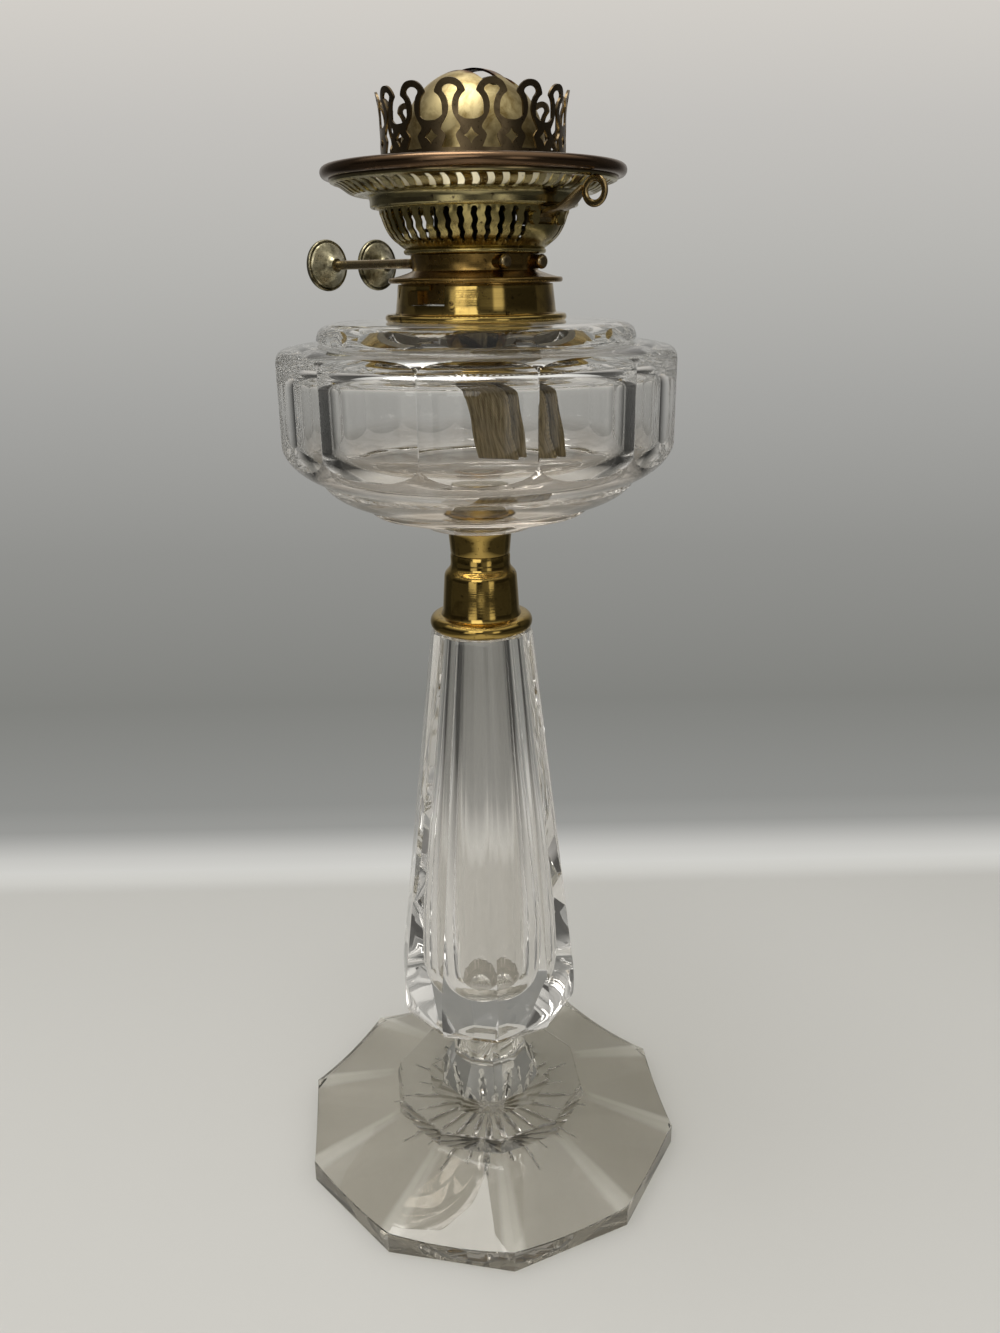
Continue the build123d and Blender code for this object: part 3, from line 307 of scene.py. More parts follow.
def path(*parts):
    """Joins single points and four-point curves, in millimetres, into one outline."""
    points = []
    for part in parts:
        if isinstance(part[0], tuple):
            *knots, count = part
            knots = [Vector((x, 0, z)) for x, z in knots]
            points += [(p.x, p.z) for p in interpolate_bezier(*knots, count)]
        else:
            points.append(part)
    return points


def chain(bm, points, layer=None, value=0.0):
    """Adds an outline to a bmesh as a chain of edges, radius along x and height along z."""
    made = [bm.verts.new((x * mm, 0, z * mm)) for x, z in points]
    for first, second in zip(made, made[1:]):
        if (first.co - second.co).length > 1e-7:
            bm.edges.new((first, second))
    if layer is not None:
        for vertex in made:
            vertex[layer] = value
    return made


def turned(bm, steps):
    """Turns everything in the bmesh about the lamp's axis and closes the seam and the poles."""
    geometry = bm.verts[:] + bm.edges[:]
    bmesh.ops.spin(
        bm, geom=geometry, cent=(0, 0, 0), axis=(0, 0, 1), angle=2 * pi, steps=steps, use_merge=True
    )
    bmesh.ops.remove_doubles(bm, verts=bm.verts, dist=2e-6)


def lathe(steps, *outline):
    """A bmesh turned from an outline, given as for path."""
    bm = bmesh.new()
    chain(bm, path(*outline))
    turned(bm, steps)
    return bm


def shade(bm, limit=26):
    """Smooth faces, with an edge left hard where it turns more than the limit."""
    bmesh.ops.recalc_face_normals(bm, faces=bm.faces)
    for face in bm.faces:
        face.smooth = True
    for edge in bm.edges:
        edge.smooth = edge.is_manifold and edge.calc_face_angle(0) < radians(limit)


bm = bmesh.new()
faceted = bm.verts.layers.float.new("faceted")
foot_radius, foot_edge, hollow_sag = 89.2, 11.3, 2.6
star_edge, star_depth, star_middle = 47.0, 1.9, 1.2
underside = [(0.0, 0.0)] + [(r, 0.0) for r in range(2, 48)]
shell = path(
    (88.4, 0.0), (foot_radius, 0.8), (foot_radius, 10.9), (88.9, foot_edge),
    *[(foot_radius - 42.7 * step / 12, foot_edge + 11.8 * step / 12) for step in range(1, 12)],
    (46.5, 23.1), (44.9, 28.6), (44.3, 29.0), (30.0, 29.5), (24.2, 32.2), (16.9, 46.4),
    (17.6, 46.9), (17.6, 49.7), (17.2, 50.1), (16.3, 50.4), (16.3, 61.8),
    ((16.6, 62.6), (20.5, 65.0), (30.0, 71.4), (38.3, 76.8), 6),
    ((38.3, 76.8), (40.2, 78.2), (40.9, 80.5), (40.9, 86.0), 8),
    ((40.9, 86.0), (40.9, 93.0), (40.3, 98.6), (39.5, 104.0), 10),
    ((39.5, 104.0), (33.5, 155.2), (27.5, 206.6), (21.4, 257.9), 24),
)
bore = path(
    (12.4, 257.9), (12.4, 275.0), (9.8, 275.9),
    ((9.8, 258.0), (12.7, 217.0), (15.7, 176.0), (18.6, 135.0), 24),
    ((18.6, 135.0), (19.4, 124.0), (19.4, 112.0), (18.8, 101.0), 10),
    ((18.8, 101.0), (18.0, 88.0), (12.0, 84.2), (0.0, 84.0), 24),
)
points = chain(bm, underside, faceted, 0.0)
upper = chain(bm, shell, faceted, 1.0)
bm.edges.new((points[-1], upper[0]))
inner = chain(bm, bore, faceted, 0.0)
bm.edges.new((upper[-1], inner[0]))
turned(bm, 240)
half_side = pi / foot_sides
for vertex in bm.verts:
    radius = hypot(vertex.co.x, vertex.co.y)
    if radius < 1e-6:
        if vertex.co.z < mm:
            vertex.co.z += star_middle * mm
        continue
    angle = atan2(vertex.co.y, vertex.co.x) - foot_turn
    across = (angle % (2 * half_side)) / half_side - 1
    if vertex[faceted] > 0.5:
        flat = cos(half_side) / cos(across * half_side)
        dip = 1 - (tan(across * half_side) / tan(half_side)) ** 2
        if 10.5 * mm < vertex.co.z < 24 * mm:
            vertex.co.z -= hollow_sag * mm * dip * (radius / (foot_radius * mm)) ** 2
        vertex.co.x *= flat
        vertex.co.y *= flat
    elif vertex.co.z < mm and radius < star_edge * mm:
        ray = abs((angle % (pi / 12)) / (pi / 12) - 0.5) * 2
        long_ray = floor(angle / (pi / 12) + 100) % 2
        reach = radius / (star_edge * mm) / (1.0 if long_ray else 0.82)
        width = max(0.0, min(1.0, 4.0 * reach, 2.2 * (1 - reach)))
        vertex.co.z += star_depth * mm * max(0.0, width - 1.9 * ray)
shade(bm, 18)


def clear_glass(name, tint, stain_low, stain_high, stain, passes):
    """Clear flint glass with a faint oily film between two heights, and smears that dull the polish."""
    material, tree, output = blank_material(name)
    place, axes = object_axes(tree)
    smears = add_node(tree, "TexNoise", {"Scale": 55, "Detail": 6, "Vector": place.outputs["Object"]})
    dull = map_range(tree, smears.outputs["Fac"], 0.52, 0.78, 0, 0.06)
    band = map_range(tree, axes.outputs["Z"], stain_high, stain_low)
    patchy = calculate(tree, "MULTIPLY", band, smears.outputs["Fac"])
    film = mix_colours(tree, patchy, (*tint, 1), (*stain, 1))
    shader = add_node(
        tree, "BsdfPrincipled",
        {"Transmission Weight": 1, "IOR": 1.52, "Roughness": dull, "Base Color": film},
    )
    # lamps shine on through the glass, so its shadow is pale
    passed = add_node(tree, "BsdfTransparent", {"Color": (passes, passes, 0.97 * passes, 1)})
    rays = add_node(tree, "LightPath")
    mixed = add_node(tree, "MixShader", {0: rays.outputs["Is Shadow Ray"], 1: shader, 2: passed})
    tree.links.new(mixed.outputs[0], output.inputs["Surface"])
    return material


pedestal_glass = clear_glass(
    "pedestal_glass", (0.94, 0.93, 0.915), 0.012, 0.032, (0.72, 0.70, 0.67), 0.86,
)
# painted shade: the foot's bottom, panels and deck are tinted grey, standing in for the shadowed table seen
# through them; painted light: lighter bands along the arrises between the panels stand in for the light
# that the cut ridges gather onto the table
tree = pedestal_glass.node_tree
shader = next(node for node in tree.nodes if node.type == "BSDF_PRINCIPLED")
place, axes = object_axes(tree)
low_part = map_range(tree, axes.outputs["Z"], 0, 0.040)
painted_foot_shade = colour_ramp(tree, low_part, [
    (0.0, (0.86, 0.845, 0.82)),
    (0.013, (0.86, 0.845, 0.82)),
    (0.022, (0.49, 0.465, 0.42)),
    (0.28, (0.49, 0.465, 0.42)),
    (0.57, (0.55, 0.525, 0.48)),
    (0.59, (0.40, 0.38, 0.345)),
    (0.74, (0.44, 0.42, 0.38)),
    (1.0, (0.90, 0.885, 0.86)),
])
round_axis = calculate(tree, "ARCTAN2", axes.outputs["Y"], axes.outputs["X"])
from_arris = calculate(tree, "SUBTRACT", round_axis, foot_turn - 2 * pi)
nearest = calculate(tree, "PINGPONG", from_arris, pi / foot_sides)
arris = add_node(
    tree, "MapRange", {"From Min": 0.075, "From Max": 0.028, "Value": nearest},
    interpolation_type="SMOOTHSTEP",
)
on_panels = colour_ramp(
    tree, low_part,
    [(0.2, (0, 0, 0)), (0.21, (1, 1, 1)), (0.54, (0.35, 0.35, 0.35)), (0.57, (0, 0, 0))],
)
painted_arris_light = calculate(tree, "MULTIPLY", arris, on_panels)
faces = mix_colours(tree, painted_arris_light, painted_foot_shade, (1, 0.99, 0.97, 1))
# painted shade: the upright side faces low down by the table are tinted dark grey-brown
facing = add_node(tree, "SeparateXYZ", {0: place.outputs["Normal"]})
upright = calculate(tree, "COMPARE", facing.outputs["Z"], 0, 0.4)
by_table = colour_ramp(tree, low_part, [(0.285, (1, 1, 1)), (0.3, (0, 0, 0))])
on_sides = calculate(tree, "MULTIPLY", upright, by_table)
sides = mix_colours(tree, on_sides, faces, (0.20, 0.18, 0.145, 1))
tree.links.new(sides, shader.inputs["Base Color"])
pedestal = add_piece("cut_glass_pedestal", bm, pedestal_glass)
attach(pedestal, "lamp_base")
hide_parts("glass_pedestal")

# ---------------------------------------------------------------------------
# Glass font
# A blown and cut oil reservoir: a round drum with twelve flat panels ground
# into it, a cushion above cut with twelve flats, and stepped rings below.
# ---------------------------------------------------------------------------

panels = 12


def join(bm, other):
    """Adds a finished bmesh to another."""
    mesh = bpy.data.meshes.new("spare")
    other.to_mesh(mesh)
    other.free()
    bm.from_mesh(mesh)
    bpy.data.meshes.remove(mesh)


def cut_flats(bm, apothem, tip=0.0, height=0.0):
    """Grinds twelve flats into a turned bmesh and closes each cut with one face."""
    for panel in range(panels):
        angle = radians(-90 + panel * 360 / panels)
        normal = Vector((cos(angle) * cos(tip), sin(angle) * cos(tip), sin(tip)))
        on_plane = Vector((cos(angle) * apothem, sin(angle) * apothem, height))
        cut = bmesh.ops.bisect_plane(
            bm, geom=bm.verts[:] + bm.edges[:] + bm.faces[:], dist=1e-7, plane_co=on_plane,
            plane_no=normal, clear_outer=True,
        )
        rim = [e for e in cut["geom_cut"] if isinstance(e, bmesh.types.BMEdge)]
        bmesh.ops.edgeloop_fill(bm, edges=rim)


drum = bmesh.new()
chain(
    drum,
    path(
        (9.9, 292.4), (9.9, 301.4), (10.4, 301.6), (21.5, 301.6), (22.2, 302.0),
        ((23.5, 303.0), (32.0, 307.6), (37.0, 306.6), (43.0, 308.6), 12),
        (44.0, 309.6), (44.3, 310.9),
        ((45.2, 311.6), (51.0, 312.4), (58.0, 315.6), (60.8, 319.6), 12),
        (61.0, 320.9), (62.2, 321.9),
        ((63.0, 322.1), (70.0, 325.0), (75.6, 330.0), (76.3, 336.0), 14),
        (76.3, 366.2),
        ((76.3, 366.2), (76.2, 369.2), (74.6, 370.6), (71.5, 371.2), 10),
        (66.0, 372.2), (62.2, 372.6), (58.6, 372.6),
    ),
)
chain(
    drum,
    path(
        (25.2, 380.0), (25.2, 385.6), (24.6, 386.3), (22.2, 386.3), (21.6, 385.7), (21.6, 375.4),
        ((21.6, 375.4), (22.0, 373.4), (26.0, 373.0), (30.0, 372.6), 8),
        (50.0, 369.4),
        ((56.5, 368.0), (63.0, 366.6), (66.4, 364.0), (66.6, 358.0), 12),
        (66.6, 338.0),
        ((66.6, 337.0), (66.0, 328.0), (50.0, 318.6), (34.0, 312.6), 14),
        (16.0, 310.6), (0.0, 310.2),
    ),
)
turned(drum, 288)
peg = [e for e in drum.edges if e.is_boundary and e.verts[0].co.z < 0.295 and e.verts[1].co.z < 0.295]
bmesh.ops.edgeloop_fill(drum, edges=peg)
cut_flats(drum, 73.75 * mm)

cushion = lathe(
    288, (58.6, 372.6), (59.8, 373.0), (60.6, 374.0), (60.6, 375.0),
    ((60.6, 375.0), (60.2, 378.2), (56.5, 379.8), (51.0, 379.95), 14),
    (25.2, 380.0),
)
cut_flats(cushion, 59.0 * mm, radians(20), 376.0 * mm)
join(drum, cushion)
bmesh.ops.remove_doubles(drum, verts=drum.verts, dist=3e-6)
shade(drum, 14)
font_glass = clear_glass("font_glass", (0.965, 0.96, 0.945), 0.308, 0.340, (0.42, 0.25, 0.06), 0.92)
font = add_piece("cut_glass_font", drum, font_glass)
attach(font, "lamp_base")
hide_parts("glass_font")

# ---------------------------------------------------------------------------
# Column cap and font socket
# Two lathe-turned brass fittings. The cap is plastered over the top of the
# glass column, with a round flange on the glass, and the socket that carries
# the font screws into it at the fine line near the top.
# ---------------------------------------------------------------------------


def tarnish_blotches():
    """Node group: patches of tarnish, from broad stains down to fine specks."""
    group = bpy.data.node_groups.new("tarnish_blotches", "ShaderNodeTree")
    group.interface.new_socket("Vector", in_out="INPUT", socket_type="NodeSocketVector")
    for name, value in (("Scale", 60.0), ("Amount", 0.5), ("Softness", 0.2)):
        group.interface.new_socket(name, in_out="INPUT", socket_type="NodeSocketFloat").default_value = value
    group.interface.new_socket("Mask", in_out="OUTPUT", socket_type="NodeSocketFloat")
    given = group.nodes.new("NodeGroupInput")
    result = group.nodes.new("NodeGroupOutput")
    noise = {"Detail": 9, "Roughness": 0.68, "Distortion": 0.4}
    broad = add_node(
        group, "TexNoise", noise | {name: given.outputs[name] for name in ("Vector", "Scale")}
    )
    scaled = calculate(group, "MULTIPLY", given.outputs["Amount"], 0.56)
    start = calculate(group, "SUBTRACT", 0.78, scaled)
    finish = calculate(group, "ADD", start, given.outputs["Softness"])
    mask = map_range(group, broad.outputs["Fac"], start, finish)
    group.links.new(mask.outputs[0], result.inputs["Mask"])
    return group


def turning_marks():
    """Node group: the fine rings that a lathe tool and a polishing cloth leave round a turned piece."""
    group = bpy.data.node_groups.new("turning_marks", "ShaderNodeTree")
    group.interface.new_socket("Vector", in_out="INPUT", socket_type="NodeSocketVector")
    group.interface.new_socket("Height", in_out="OUTPUT", socket_type="NodeSocketFloat")
    given = group.nodes.new("NodeGroupInput")
    result = group.nodes.new("NodeGroupOutput")
    parts = add_node(group, "SeparateXYZ", {0: given.outputs["Vector"]})
    flat = add_node(group, "CombineXYZ", {"X": parts.outputs["X"], "Y": parts.outputs["Y"]})
    radius = add_node(group, "VectorMath", {0: flat}, operation="LENGTH")
    rings = add_node(group, "CombineXYZ", {"X": radius.outputs["Value"], "Z": parts.outputs["Z"]})
    lines = add_node(group, "TexNoise", {"Scale": 1400, "Detail": 3, "Vector": rings})
    group.links.new(lines.outputs["Fac"], result.inputs["Height"])
    return group


blotches = tarnish_blotches()
lathe_rings = turning_marks()


def patches(tree, place, scale, amount, softness):
    """The mask of the tarnish patches, read at the object's own coordinates."""
    values = {"Scale": scale, "Amount": amount, "Softness": softness, "Vector": place.outputs["Object"]}
    return add_node(tree, "Group", values, node_tree=blotches).outputs["Mask"]


def brass(
    name, clean, tarnish, amount, scale=60, softness=0.2, polished=0.16, dull=0.4, marks=0.05, edges=None
):
    """Brass with tarnish on part of it. Edges are (low, high, colour): another tone between two heights."""
    material, tree, output = blank_material(name)
    place, axes = object_axes(tree)
    stains = patches(tree, place, scale, amount, softness)
    colour = mix_colours(tree, stains, (*clean, 1), (*tarnish, 1))
    specks = patches(tree, place, scale * 9, 0.35, 0.08)
    colour = mix_colours(tree, specks, colour, (*[0.55 * value for value in tarnish], 1))
    if edges:
        low, high, other = edges
        band = map_range(tree, axes.outputs["Z"], low * mm, high * mm)
        colour = mix_colours(tree, band, colour, (*other, 1))
    gloss = map_range(tree, stains, 0, 1, polished, dull)
    rings = add_node(tree, "Group", {"Vector": place.outputs["Object"]}, node_tree=lathe_rings)
    bump = add_node(
        tree, "Bump", {"Strength": marks, "Distance": 0.0004, "Height": rings.outputs["Height"]},
    )
    shader = add_node(
        tree, "BsdfPrincipled",
        {"Metallic": 1, "Base Color": colour, "Roughness": gloss, "Normal": bump},
    )
    tree.links.new(shader.outputs[0], output.inputs["Surface"])
    return material


fitting_brass = brass(
    "lacquered_brass", (0.50, 0.345, 0.10), (0.15, 0.085, 0.02), 0.40, polished=0.10, dull=0.26,
)
bm = lathe(
    128, (7.6, 290.0), (7.6, 280.2), (13.9, 280.2), (13.9, 258.1), (18.2, 258.1),
    ((18.2, 258.1), (22.2, 258.1), (22.2, 264.3), (18.4, 264.3), 12),
    (16.6, 264.5), (16.1, 265.4), (15.8, 267.2), (15.4, 274.0), (14.95, 280.2),
    ((14.95, 280.2), (14.9, 283.0), (12.8, 283.2), (12.3, 285.2), 8),
    (12.2, 286.4), (12.2, 289.4), (11.9, 289.8), (11.9, 290.0), (7.6, 290.0),
)
shade(bm, 40)
cap = add_piece("column_cap_turned", bm, fitting_brass)
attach(cap, "lamp_base")
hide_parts("column_cap")

bm = lathe(
    128, (0.0, 281.1), (7.4, 281.1), (7.4, 290.1), (11.8, 290.1), (12.2, 290.6), (12.35, 293.2),
    (12.7, 297.0),
    ((12.9, 298.4), (13.2, 299.8), (14.2, 300.7), (15.4, 301.0), 7),
    (15.5, 301.4), (11.5, 301.4), (11.5, 292.1), (0.0, 292.1),
)
shade(bm, 40)
socket = add_piece("font_socket_turned", bm, fitting_brass)
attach(socket, "lamp_base")
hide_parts("font_socket")


def dress(material, *names):
    """Gives a finish to solids that keep their own shape."""
    for name in names:
        nodes[name].material_slots[0].material = material


plaster, tree, output = blank_material("old_plaster")
place, axes = object_axes(tree)
grit = add_node(tree, "TexNoise", {"Scale": 900, "Detail": 5, "Vector": place.outputs["Object"]})
tones = colour_ramp(tree, grit.outputs["Fac"], [(0.3, (0.42, 0.37, 0.28)), (0.7, (0.66, 0.62, 0.53))])
grain = add_node(tree, "Bump", {"Strength": 0.4, "Distance": 0.0003, "Height": grit.outputs["Fac"]})
shader = add_node(tree, "BsdfPrincipled", {"Roughness": 0.9, "Base Color": tones, "Normal": grain})
tree.links.new(shader.outputs[0], output.inputs["Surface"])
dress(plaster, "cap_plaster", "socket_plaster", "collar_plaster")

# ---------------------------------------------------------------------------
# Collar
# A polished brass ring plastered over the neck of the font, with a rounded
# flange on the glass. Two bent slots in its wall take the burner's lugs.
# ---------------------------------------------------------------------------


def pierce(bm, test):
    """Cuts away the faces whose middle passes a test of direction in degrees, radius and height in mm."""
    gone = []
    for face in bm.faces:
        middle = face.calc_center_median()
        if test(degrees(atan2(middle.y, middle.x)), hypot(middle.x, middle.y) / mm, middle.z / mm):
            gone.append(face)
    bmesh.ops.delete(bm, geom=gone, context="FACES")


def give_wall(bm, thickness):
    """Gives a thin turned sheet its thickness, on the side of the lamp's axis or below."""
    bmesh.ops.recalc_face_normals(bm, faces=bm.faces)
    outwards = 0.0
    for face in bm.faces:
        middle = face.calc_center_median()
        outwards += face.calc_area() * (face.normal.x * middle.x + face.normal.y * middle.y)
    if outwards < 0:
        bmesh.ops.reverse_faces(bm, faces=bm.faces)
    bmesh.ops.solidify(bm, geom=bm.faces[:], thickness=thickness * mm)


def apart(angle, other):
    """Degrees between two directions."""
    return abs((angle - other + 180) % 360 - 180)


locked, free = -138, -118


def in_bayonet_slot(angle, radius, height):
    """Where a slot is open: down from the rim where the lug goes in, then sideways to where it locks."""
    if radius > 31 or height < 386:
        return False
    entry = any(apart(angle, free + turn) < 6 for turn in (0, 180))
    seat = any(apart(angle, (locked + free) / 2 + turn) < 16 for turn in (0, 180))
    return entry or (seat and height < 391.2)


bm = lathe(
    360, (28.2, 379.9), (33.0, 379.9),
    ((33.0, 379.9), (34.7, 379.9), (34.7, 382.7), (33.0, 382.7), 9),
    (31.0, 382.8), (30.4, 383.1), (30.15, 384.0), (29.95, 386.0), (29.6, 388.6), (29.3, 391.2),
    (29.15, 392.5), (29.0, 393.1),
)
pierce(bm, in_bayonet_slot)
give_wall(bm, 0.9)
shade(bm, 40)
collar_brass = brass(
    "collar_brass", (0.50, 0.35, 0.105), (0.11, 0.06, 0.02), 0.46, scale=45, polished=0.09,
    dull=0.30,
)
collar = add_piece("font_collar_spun", bm, collar_brass)
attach(collar, "lamp_base")
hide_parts("font_collar")

# ---------------------------------------------------------------------------
# Burner base
# Spun brass: a skirt inside the collar, a flange that rests on it, a bevel and
# the drum that holds the wick winders. The drum has gone golden brown.
# ---------------------------------------------------------------------------

bm = lathe(
    192, (27.9, 386.6), (27.9, 393.5), (32.0, 393.5),
    ((32.0, 393.5), (32.9, 393.6), (32.9, 395.3), (32.0, 395.4), 7),
    (30.6, 395.5), (27.6, 396.3), (24.6, 397.3), (23.6, 397.8), (23.4, 398.6), (23.5, 400.6),
    (23.9, 402.4), (24.0, 403.2), (22.6, 403.2), (22.5, 395.4), (27.0, 394.4), (27.0, 386.6),
    (27.9, 386.6),
)
shade(bm, 38)
burner_brass = brass(
    "burner_brass", (0.38, 0.245, 0.075), (0.12, 0.065, 0.02), 0.64, scale=70, softness=0.3,
    polished=0.2, dull=0.36,
)
base = add_piece("burner_base_spun", bm, burner_brass)
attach(base, "burner")
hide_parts("burner_base")
dress(burner_brass, "bayonet_lugs", "tube_plate", "spindle_bushes")

# ---------------------------------------------------------------------------
# Basket and air diffuser
# A pressed brass bowl on a beaded ring. Forty-five wavy slots let the draught
# in, apart from a plain part where the lever comes out between two rivets.
# ---------------------------------------------------------------------------

lever_way = -40
no_slots_within = 16
basket_slots = 45


def swing(bm, angle, verts=None, axis="Z"):
    """Turns a bmesh, or some of it, by an angle in degrees about an axis through the middle of the foot."""
    bmesh.ops.rotate(
        bm, cent=(0, 0, 0), matrix=Matrix.Rotation(radians(angle), 3, axis), verts=verts or bm.verts
    )


def sheet_for_slots(inner, band, outer, steps):
    """Turns a sheet with a band for slots. Along runs from 0 to 1 over the band and is -1 elsewhere."""
    bm = bmesh.new()
    along = bm.verts.layers.float.new("along")
    inner = chain(bm, inner, along, -1.0)
    middle = chain(bm, band, along, 0.0)
    for step, vertex in enumerate(middle):
        vertex[along] = step / (len(middle) - 1)
    outer = chain(bm, outer, along, -1.0)
    bm.edges.new((inner[-1], middle[0]))
    bm.edges.new((middle[-1], outer[0]))
    swing(bm, -90)
    turned(bm, steps)
    return bm, along


def nearest_slot(place, count):
    """The nearest slot's direction, counted from the front, and the distance past its middle in slots."""
    pitch = 2 * pi / count
    turn = atan2(place.y, place.x) + pi / 2
    offset = (turn / pitch + 0.5) % 1 - 0.5
    return turn - offset * pitch, offset


def open_slots(bm, along, count, half_width, bend, rounding=lambda t: 0, plain=lambda way: False):
    """Deletes the faces of the slots, then spreads each slot and bends it.

    Half_width in slots, bend in degrees and the rounding of the ends in mm depend on the way along a slot.
    """
    gone = []
    for face in bm.faces:
        way, offset = nearest_slot(face.calc_center_median(), count)
        in_band = min(vertex[along] for vertex in face.verts) > -0.5
        if in_band and abs(offset) < 0.25 and not plain(way):
            gone.append(face)
    bmesh.ops.delete(bm, geom=gone, context="FACES")
    for vertex in bm.verts:
        t = vertex[along]
        way, offset = nearest_slot(vertex.co, count)
        if t < -0.5 or plain(way):
            continue
        inside = min(abs(offset), 0.25) / 0.25
        past = max(0.0, abs(offset) - 0.25) / 0.25
        new = inside * half_width(t) + past * (0.5 - half_width(t))
        vertex.co.z += mm * inside**3 * (1 - past) * rounding(t)
        turn = way + (new if offset > 0 else -new) * 2 * pi / count + radians(bend(t))
        radius = hypot(vertex.co.x, vertex.co.y)
        vertex.co.x = radius * cos(turn - pi / 2)
        vertex.co.y = radius * sin(turn - pi / 2)


bm, along = sheet_for_slots(
    path(
        (23.4, 403.4), (25.4, 403.4),
        ((25.4, 403.4), (26.7, 403.5), (26.7, 405.2), (25.7, 405.3), 8),
        (26.3, 405.6), (27.1, 406.2),
    ),
    path(((28.1, 407.0), (31.6, 409.2), (33.6, 413.0), (34.75, 418.3), 28)),
    path(
        (34.9, 418.7), (36.0, 418.9),
        ((36.0, 418.9), (36.6, 419.1), (36.6, 419.9), (36.0, 420.1), 6),
        (34.9, 420.1),
    ),
    basket_slots * 12,
)
open_slots(
    bm, along, basket_slots,
    half_width=lambda t: 0.185 + 0.045 * t,
    bend=lambda t: 0.496 * sin(3.1 * 2 * pi * t + 0.6) * min(1.0, 7 * t, 7 * (1 - t)),
    rounding=lambda t: 0.8 * max(0.0, (0.14 - t) / 0.14) - 0.9 * max(0.0, (t - 0.86) / 0.14),
    plain=lambda way: apart(degrees(way) - 90, lever_way) < no_slots_within,
)
# the hole that the lever comes out of
pierce(bm, lambda angle, radius, height: apart(angle, lever_way) < 8 and 412.4 < height < 418.4)
give_wall(bm, 0.75)
shade(bm, 42)
basket_brass = brass(
    "basket_brass", (0.52, 0.42, 0.17), (0.15, 0.10, 0.035), 0.55, scale=110, softness=0.28,
    polished=0.2, dull=0.38,
)
basket = add_piece("burner_basket_pressed", bm, basket_brass)
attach(basket, "burner")
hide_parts("burner_basket")
soot_brass = brass(
    "sooty_brass", (0.10, 0.08, 0.05), (0.02, 0.016, 0.012), 0.7, scale=120, polished=0.4, dull=0.6,
)
dress(soot_brass, "air_diffuser", "wick_tube_front", "wick_tube_rear", "lever_bracket")

rivet_radius, rivet_flatness, rivet_out, rivet_aside, rivet_height = 2.1, 0.42, 33.15, 7.4, 414.5
bm = bmesh.new()
for side in (1, -1):
    head = bmesh.ops.create_uvsphere(bm, u_segments=24, v_segments=12, radius=rivet_radius * mm)["verts"]
    bmesh.ops.scale(bm, vec=(rivet_flatness, 1, 1), verts=head)
    place = (rivet_out * mm, side * rivet_aside * mm, rivet_height * mm)
    bmesh.ops.translate(bm, vec=place, verts=head)
swing(bm, lever_way)
shade(bm)
rivets = add_piece("rivet_heads", bm, basket_brass)
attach(rivets, "burner")
dress(basket_brass, "bracket_rivets")

# ---------------------------------------------------------------------------
# Winders
# Two drawn brass spindles run through bushes in the drum, each with a spun,
# dished knob on its outer end and a rounded head on the other. Their toothed
# wheels raise the wicks.
# ---------------------------------------------------------------------------

spindle_height, spindle_offset, winder_way = 400.6, 9.65, 135
spindle_brass = brass(
    "spindle_brass", (0.46, 0.36, 0.20), (0.20, 0.12, 0.06), 0.5, scale=200, polished=0.24,
    dull=0.42, marks=0,
)
knob_brass = brass(
    "knob_brass", (0.56, 0.51, 0.34), (0.10, 0.085, 0.045), 0.68, scale=150, softness=0.22,
    polished=0.26, dull=0.46, marks=0,
)


def lay_along_spindle(bm, side):
    """Moves a piece turned about the upright axis onto a spindle's line, its far end outwards."""
    outwards = Vector((cos(radians(winder_way)), sin(radians(winder_way)), 0))
    sideways = Vector((cos(radians(winder_way + 90)), sin(radians(winder_way + 90)), 0))
    up = Vector((0, 0, 1))
    turn = Matrix((up, outwards.cross(up), outwards)).transposed().to_4x4()
    place = Matrix.Translation(sideways * side * spindle_offset * mm + up * spindle_height * mm)
    bmesh.ops.transform(bm, matrix=place @ turn, verts=bm.verts)


for name, side, reach in (("front", 1, 79.4), ("rear", -1, 70.4)):
    head = -23.7
    bm = lathe(
        32, (0.0, head - 2.2),
        ((1.3, head - 2.2), (2.2, head - 2.1), (2.6, head - 1.6), (2.6, head - 0.7), 6),
        (2.3, head), (1.75, head + 0.1), (1.75, 12.0), (1.72, 34.0), (1.75, reach - 8.0),
        (1.75, reach - 0.1), (0.0, reach - 0.1),
    )
    lay_along_spindle(bm, side)
    shade(bm, 40)
    spindle = add_piece(f"spindle_{name}_drawn", bm, spindle_brass)
    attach(spindle, f"{name}_winder")
    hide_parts(f"spindle_{name}")
    dress(burner_brass, f"wick_wheels_{name}")

    back = reach - 9.1
    bm = lathe(
        96, (1.75, back), (2.6, back), (3.0, back + 0.4),
        ((3.0, back + 0.4), (3.6, back + 2.0), (6.4, back + 3.6), (8.7, back + 5.3), 14),
        (8.9, back + 5.75), (9.2, back + 5.55),
        ((9.2, back + 5.55), (9.9, back + 5.4), (10.15, back + 6.0), (10.05, back + 6.8), 8),
        (9.95, back + 7.3), (9.5, back + 7.65), (9.1, back + 7.5),
        ((8.7, back + 7.3), (6.5, back + 8.5), (4.0, back + 9.1), (2.6, back + 9.2), 12),
        (2.5, back + 9.35),
        ((2.5, back + 9.35), (2.2, back + 9.6), (1.0, back + 9.6), (0.0, back + 9.6), 6),
        (0.0, reach - 0.1), (1.75, reach - 0.1), (1.75, back),
    )
    lay_along_spindle(bm, side)
    shade(bm, 34)
    knob = add_piece(f"winder_knob_{name}_spun", bm, knob_brass)
    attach(knob, f"{name}_winder")
    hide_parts(f"winder_knob_{name}")

# ---------------------------------------------------------------------------
# Wicks
# Two flat woven cotton bands, 25 mm wide. Each is straight in its tube, then
# twists and leans over to the right as it hangs into the oil. Old oil has
# stained them brown, and their tops are charred.
# ---------------------------------------------------------------------------

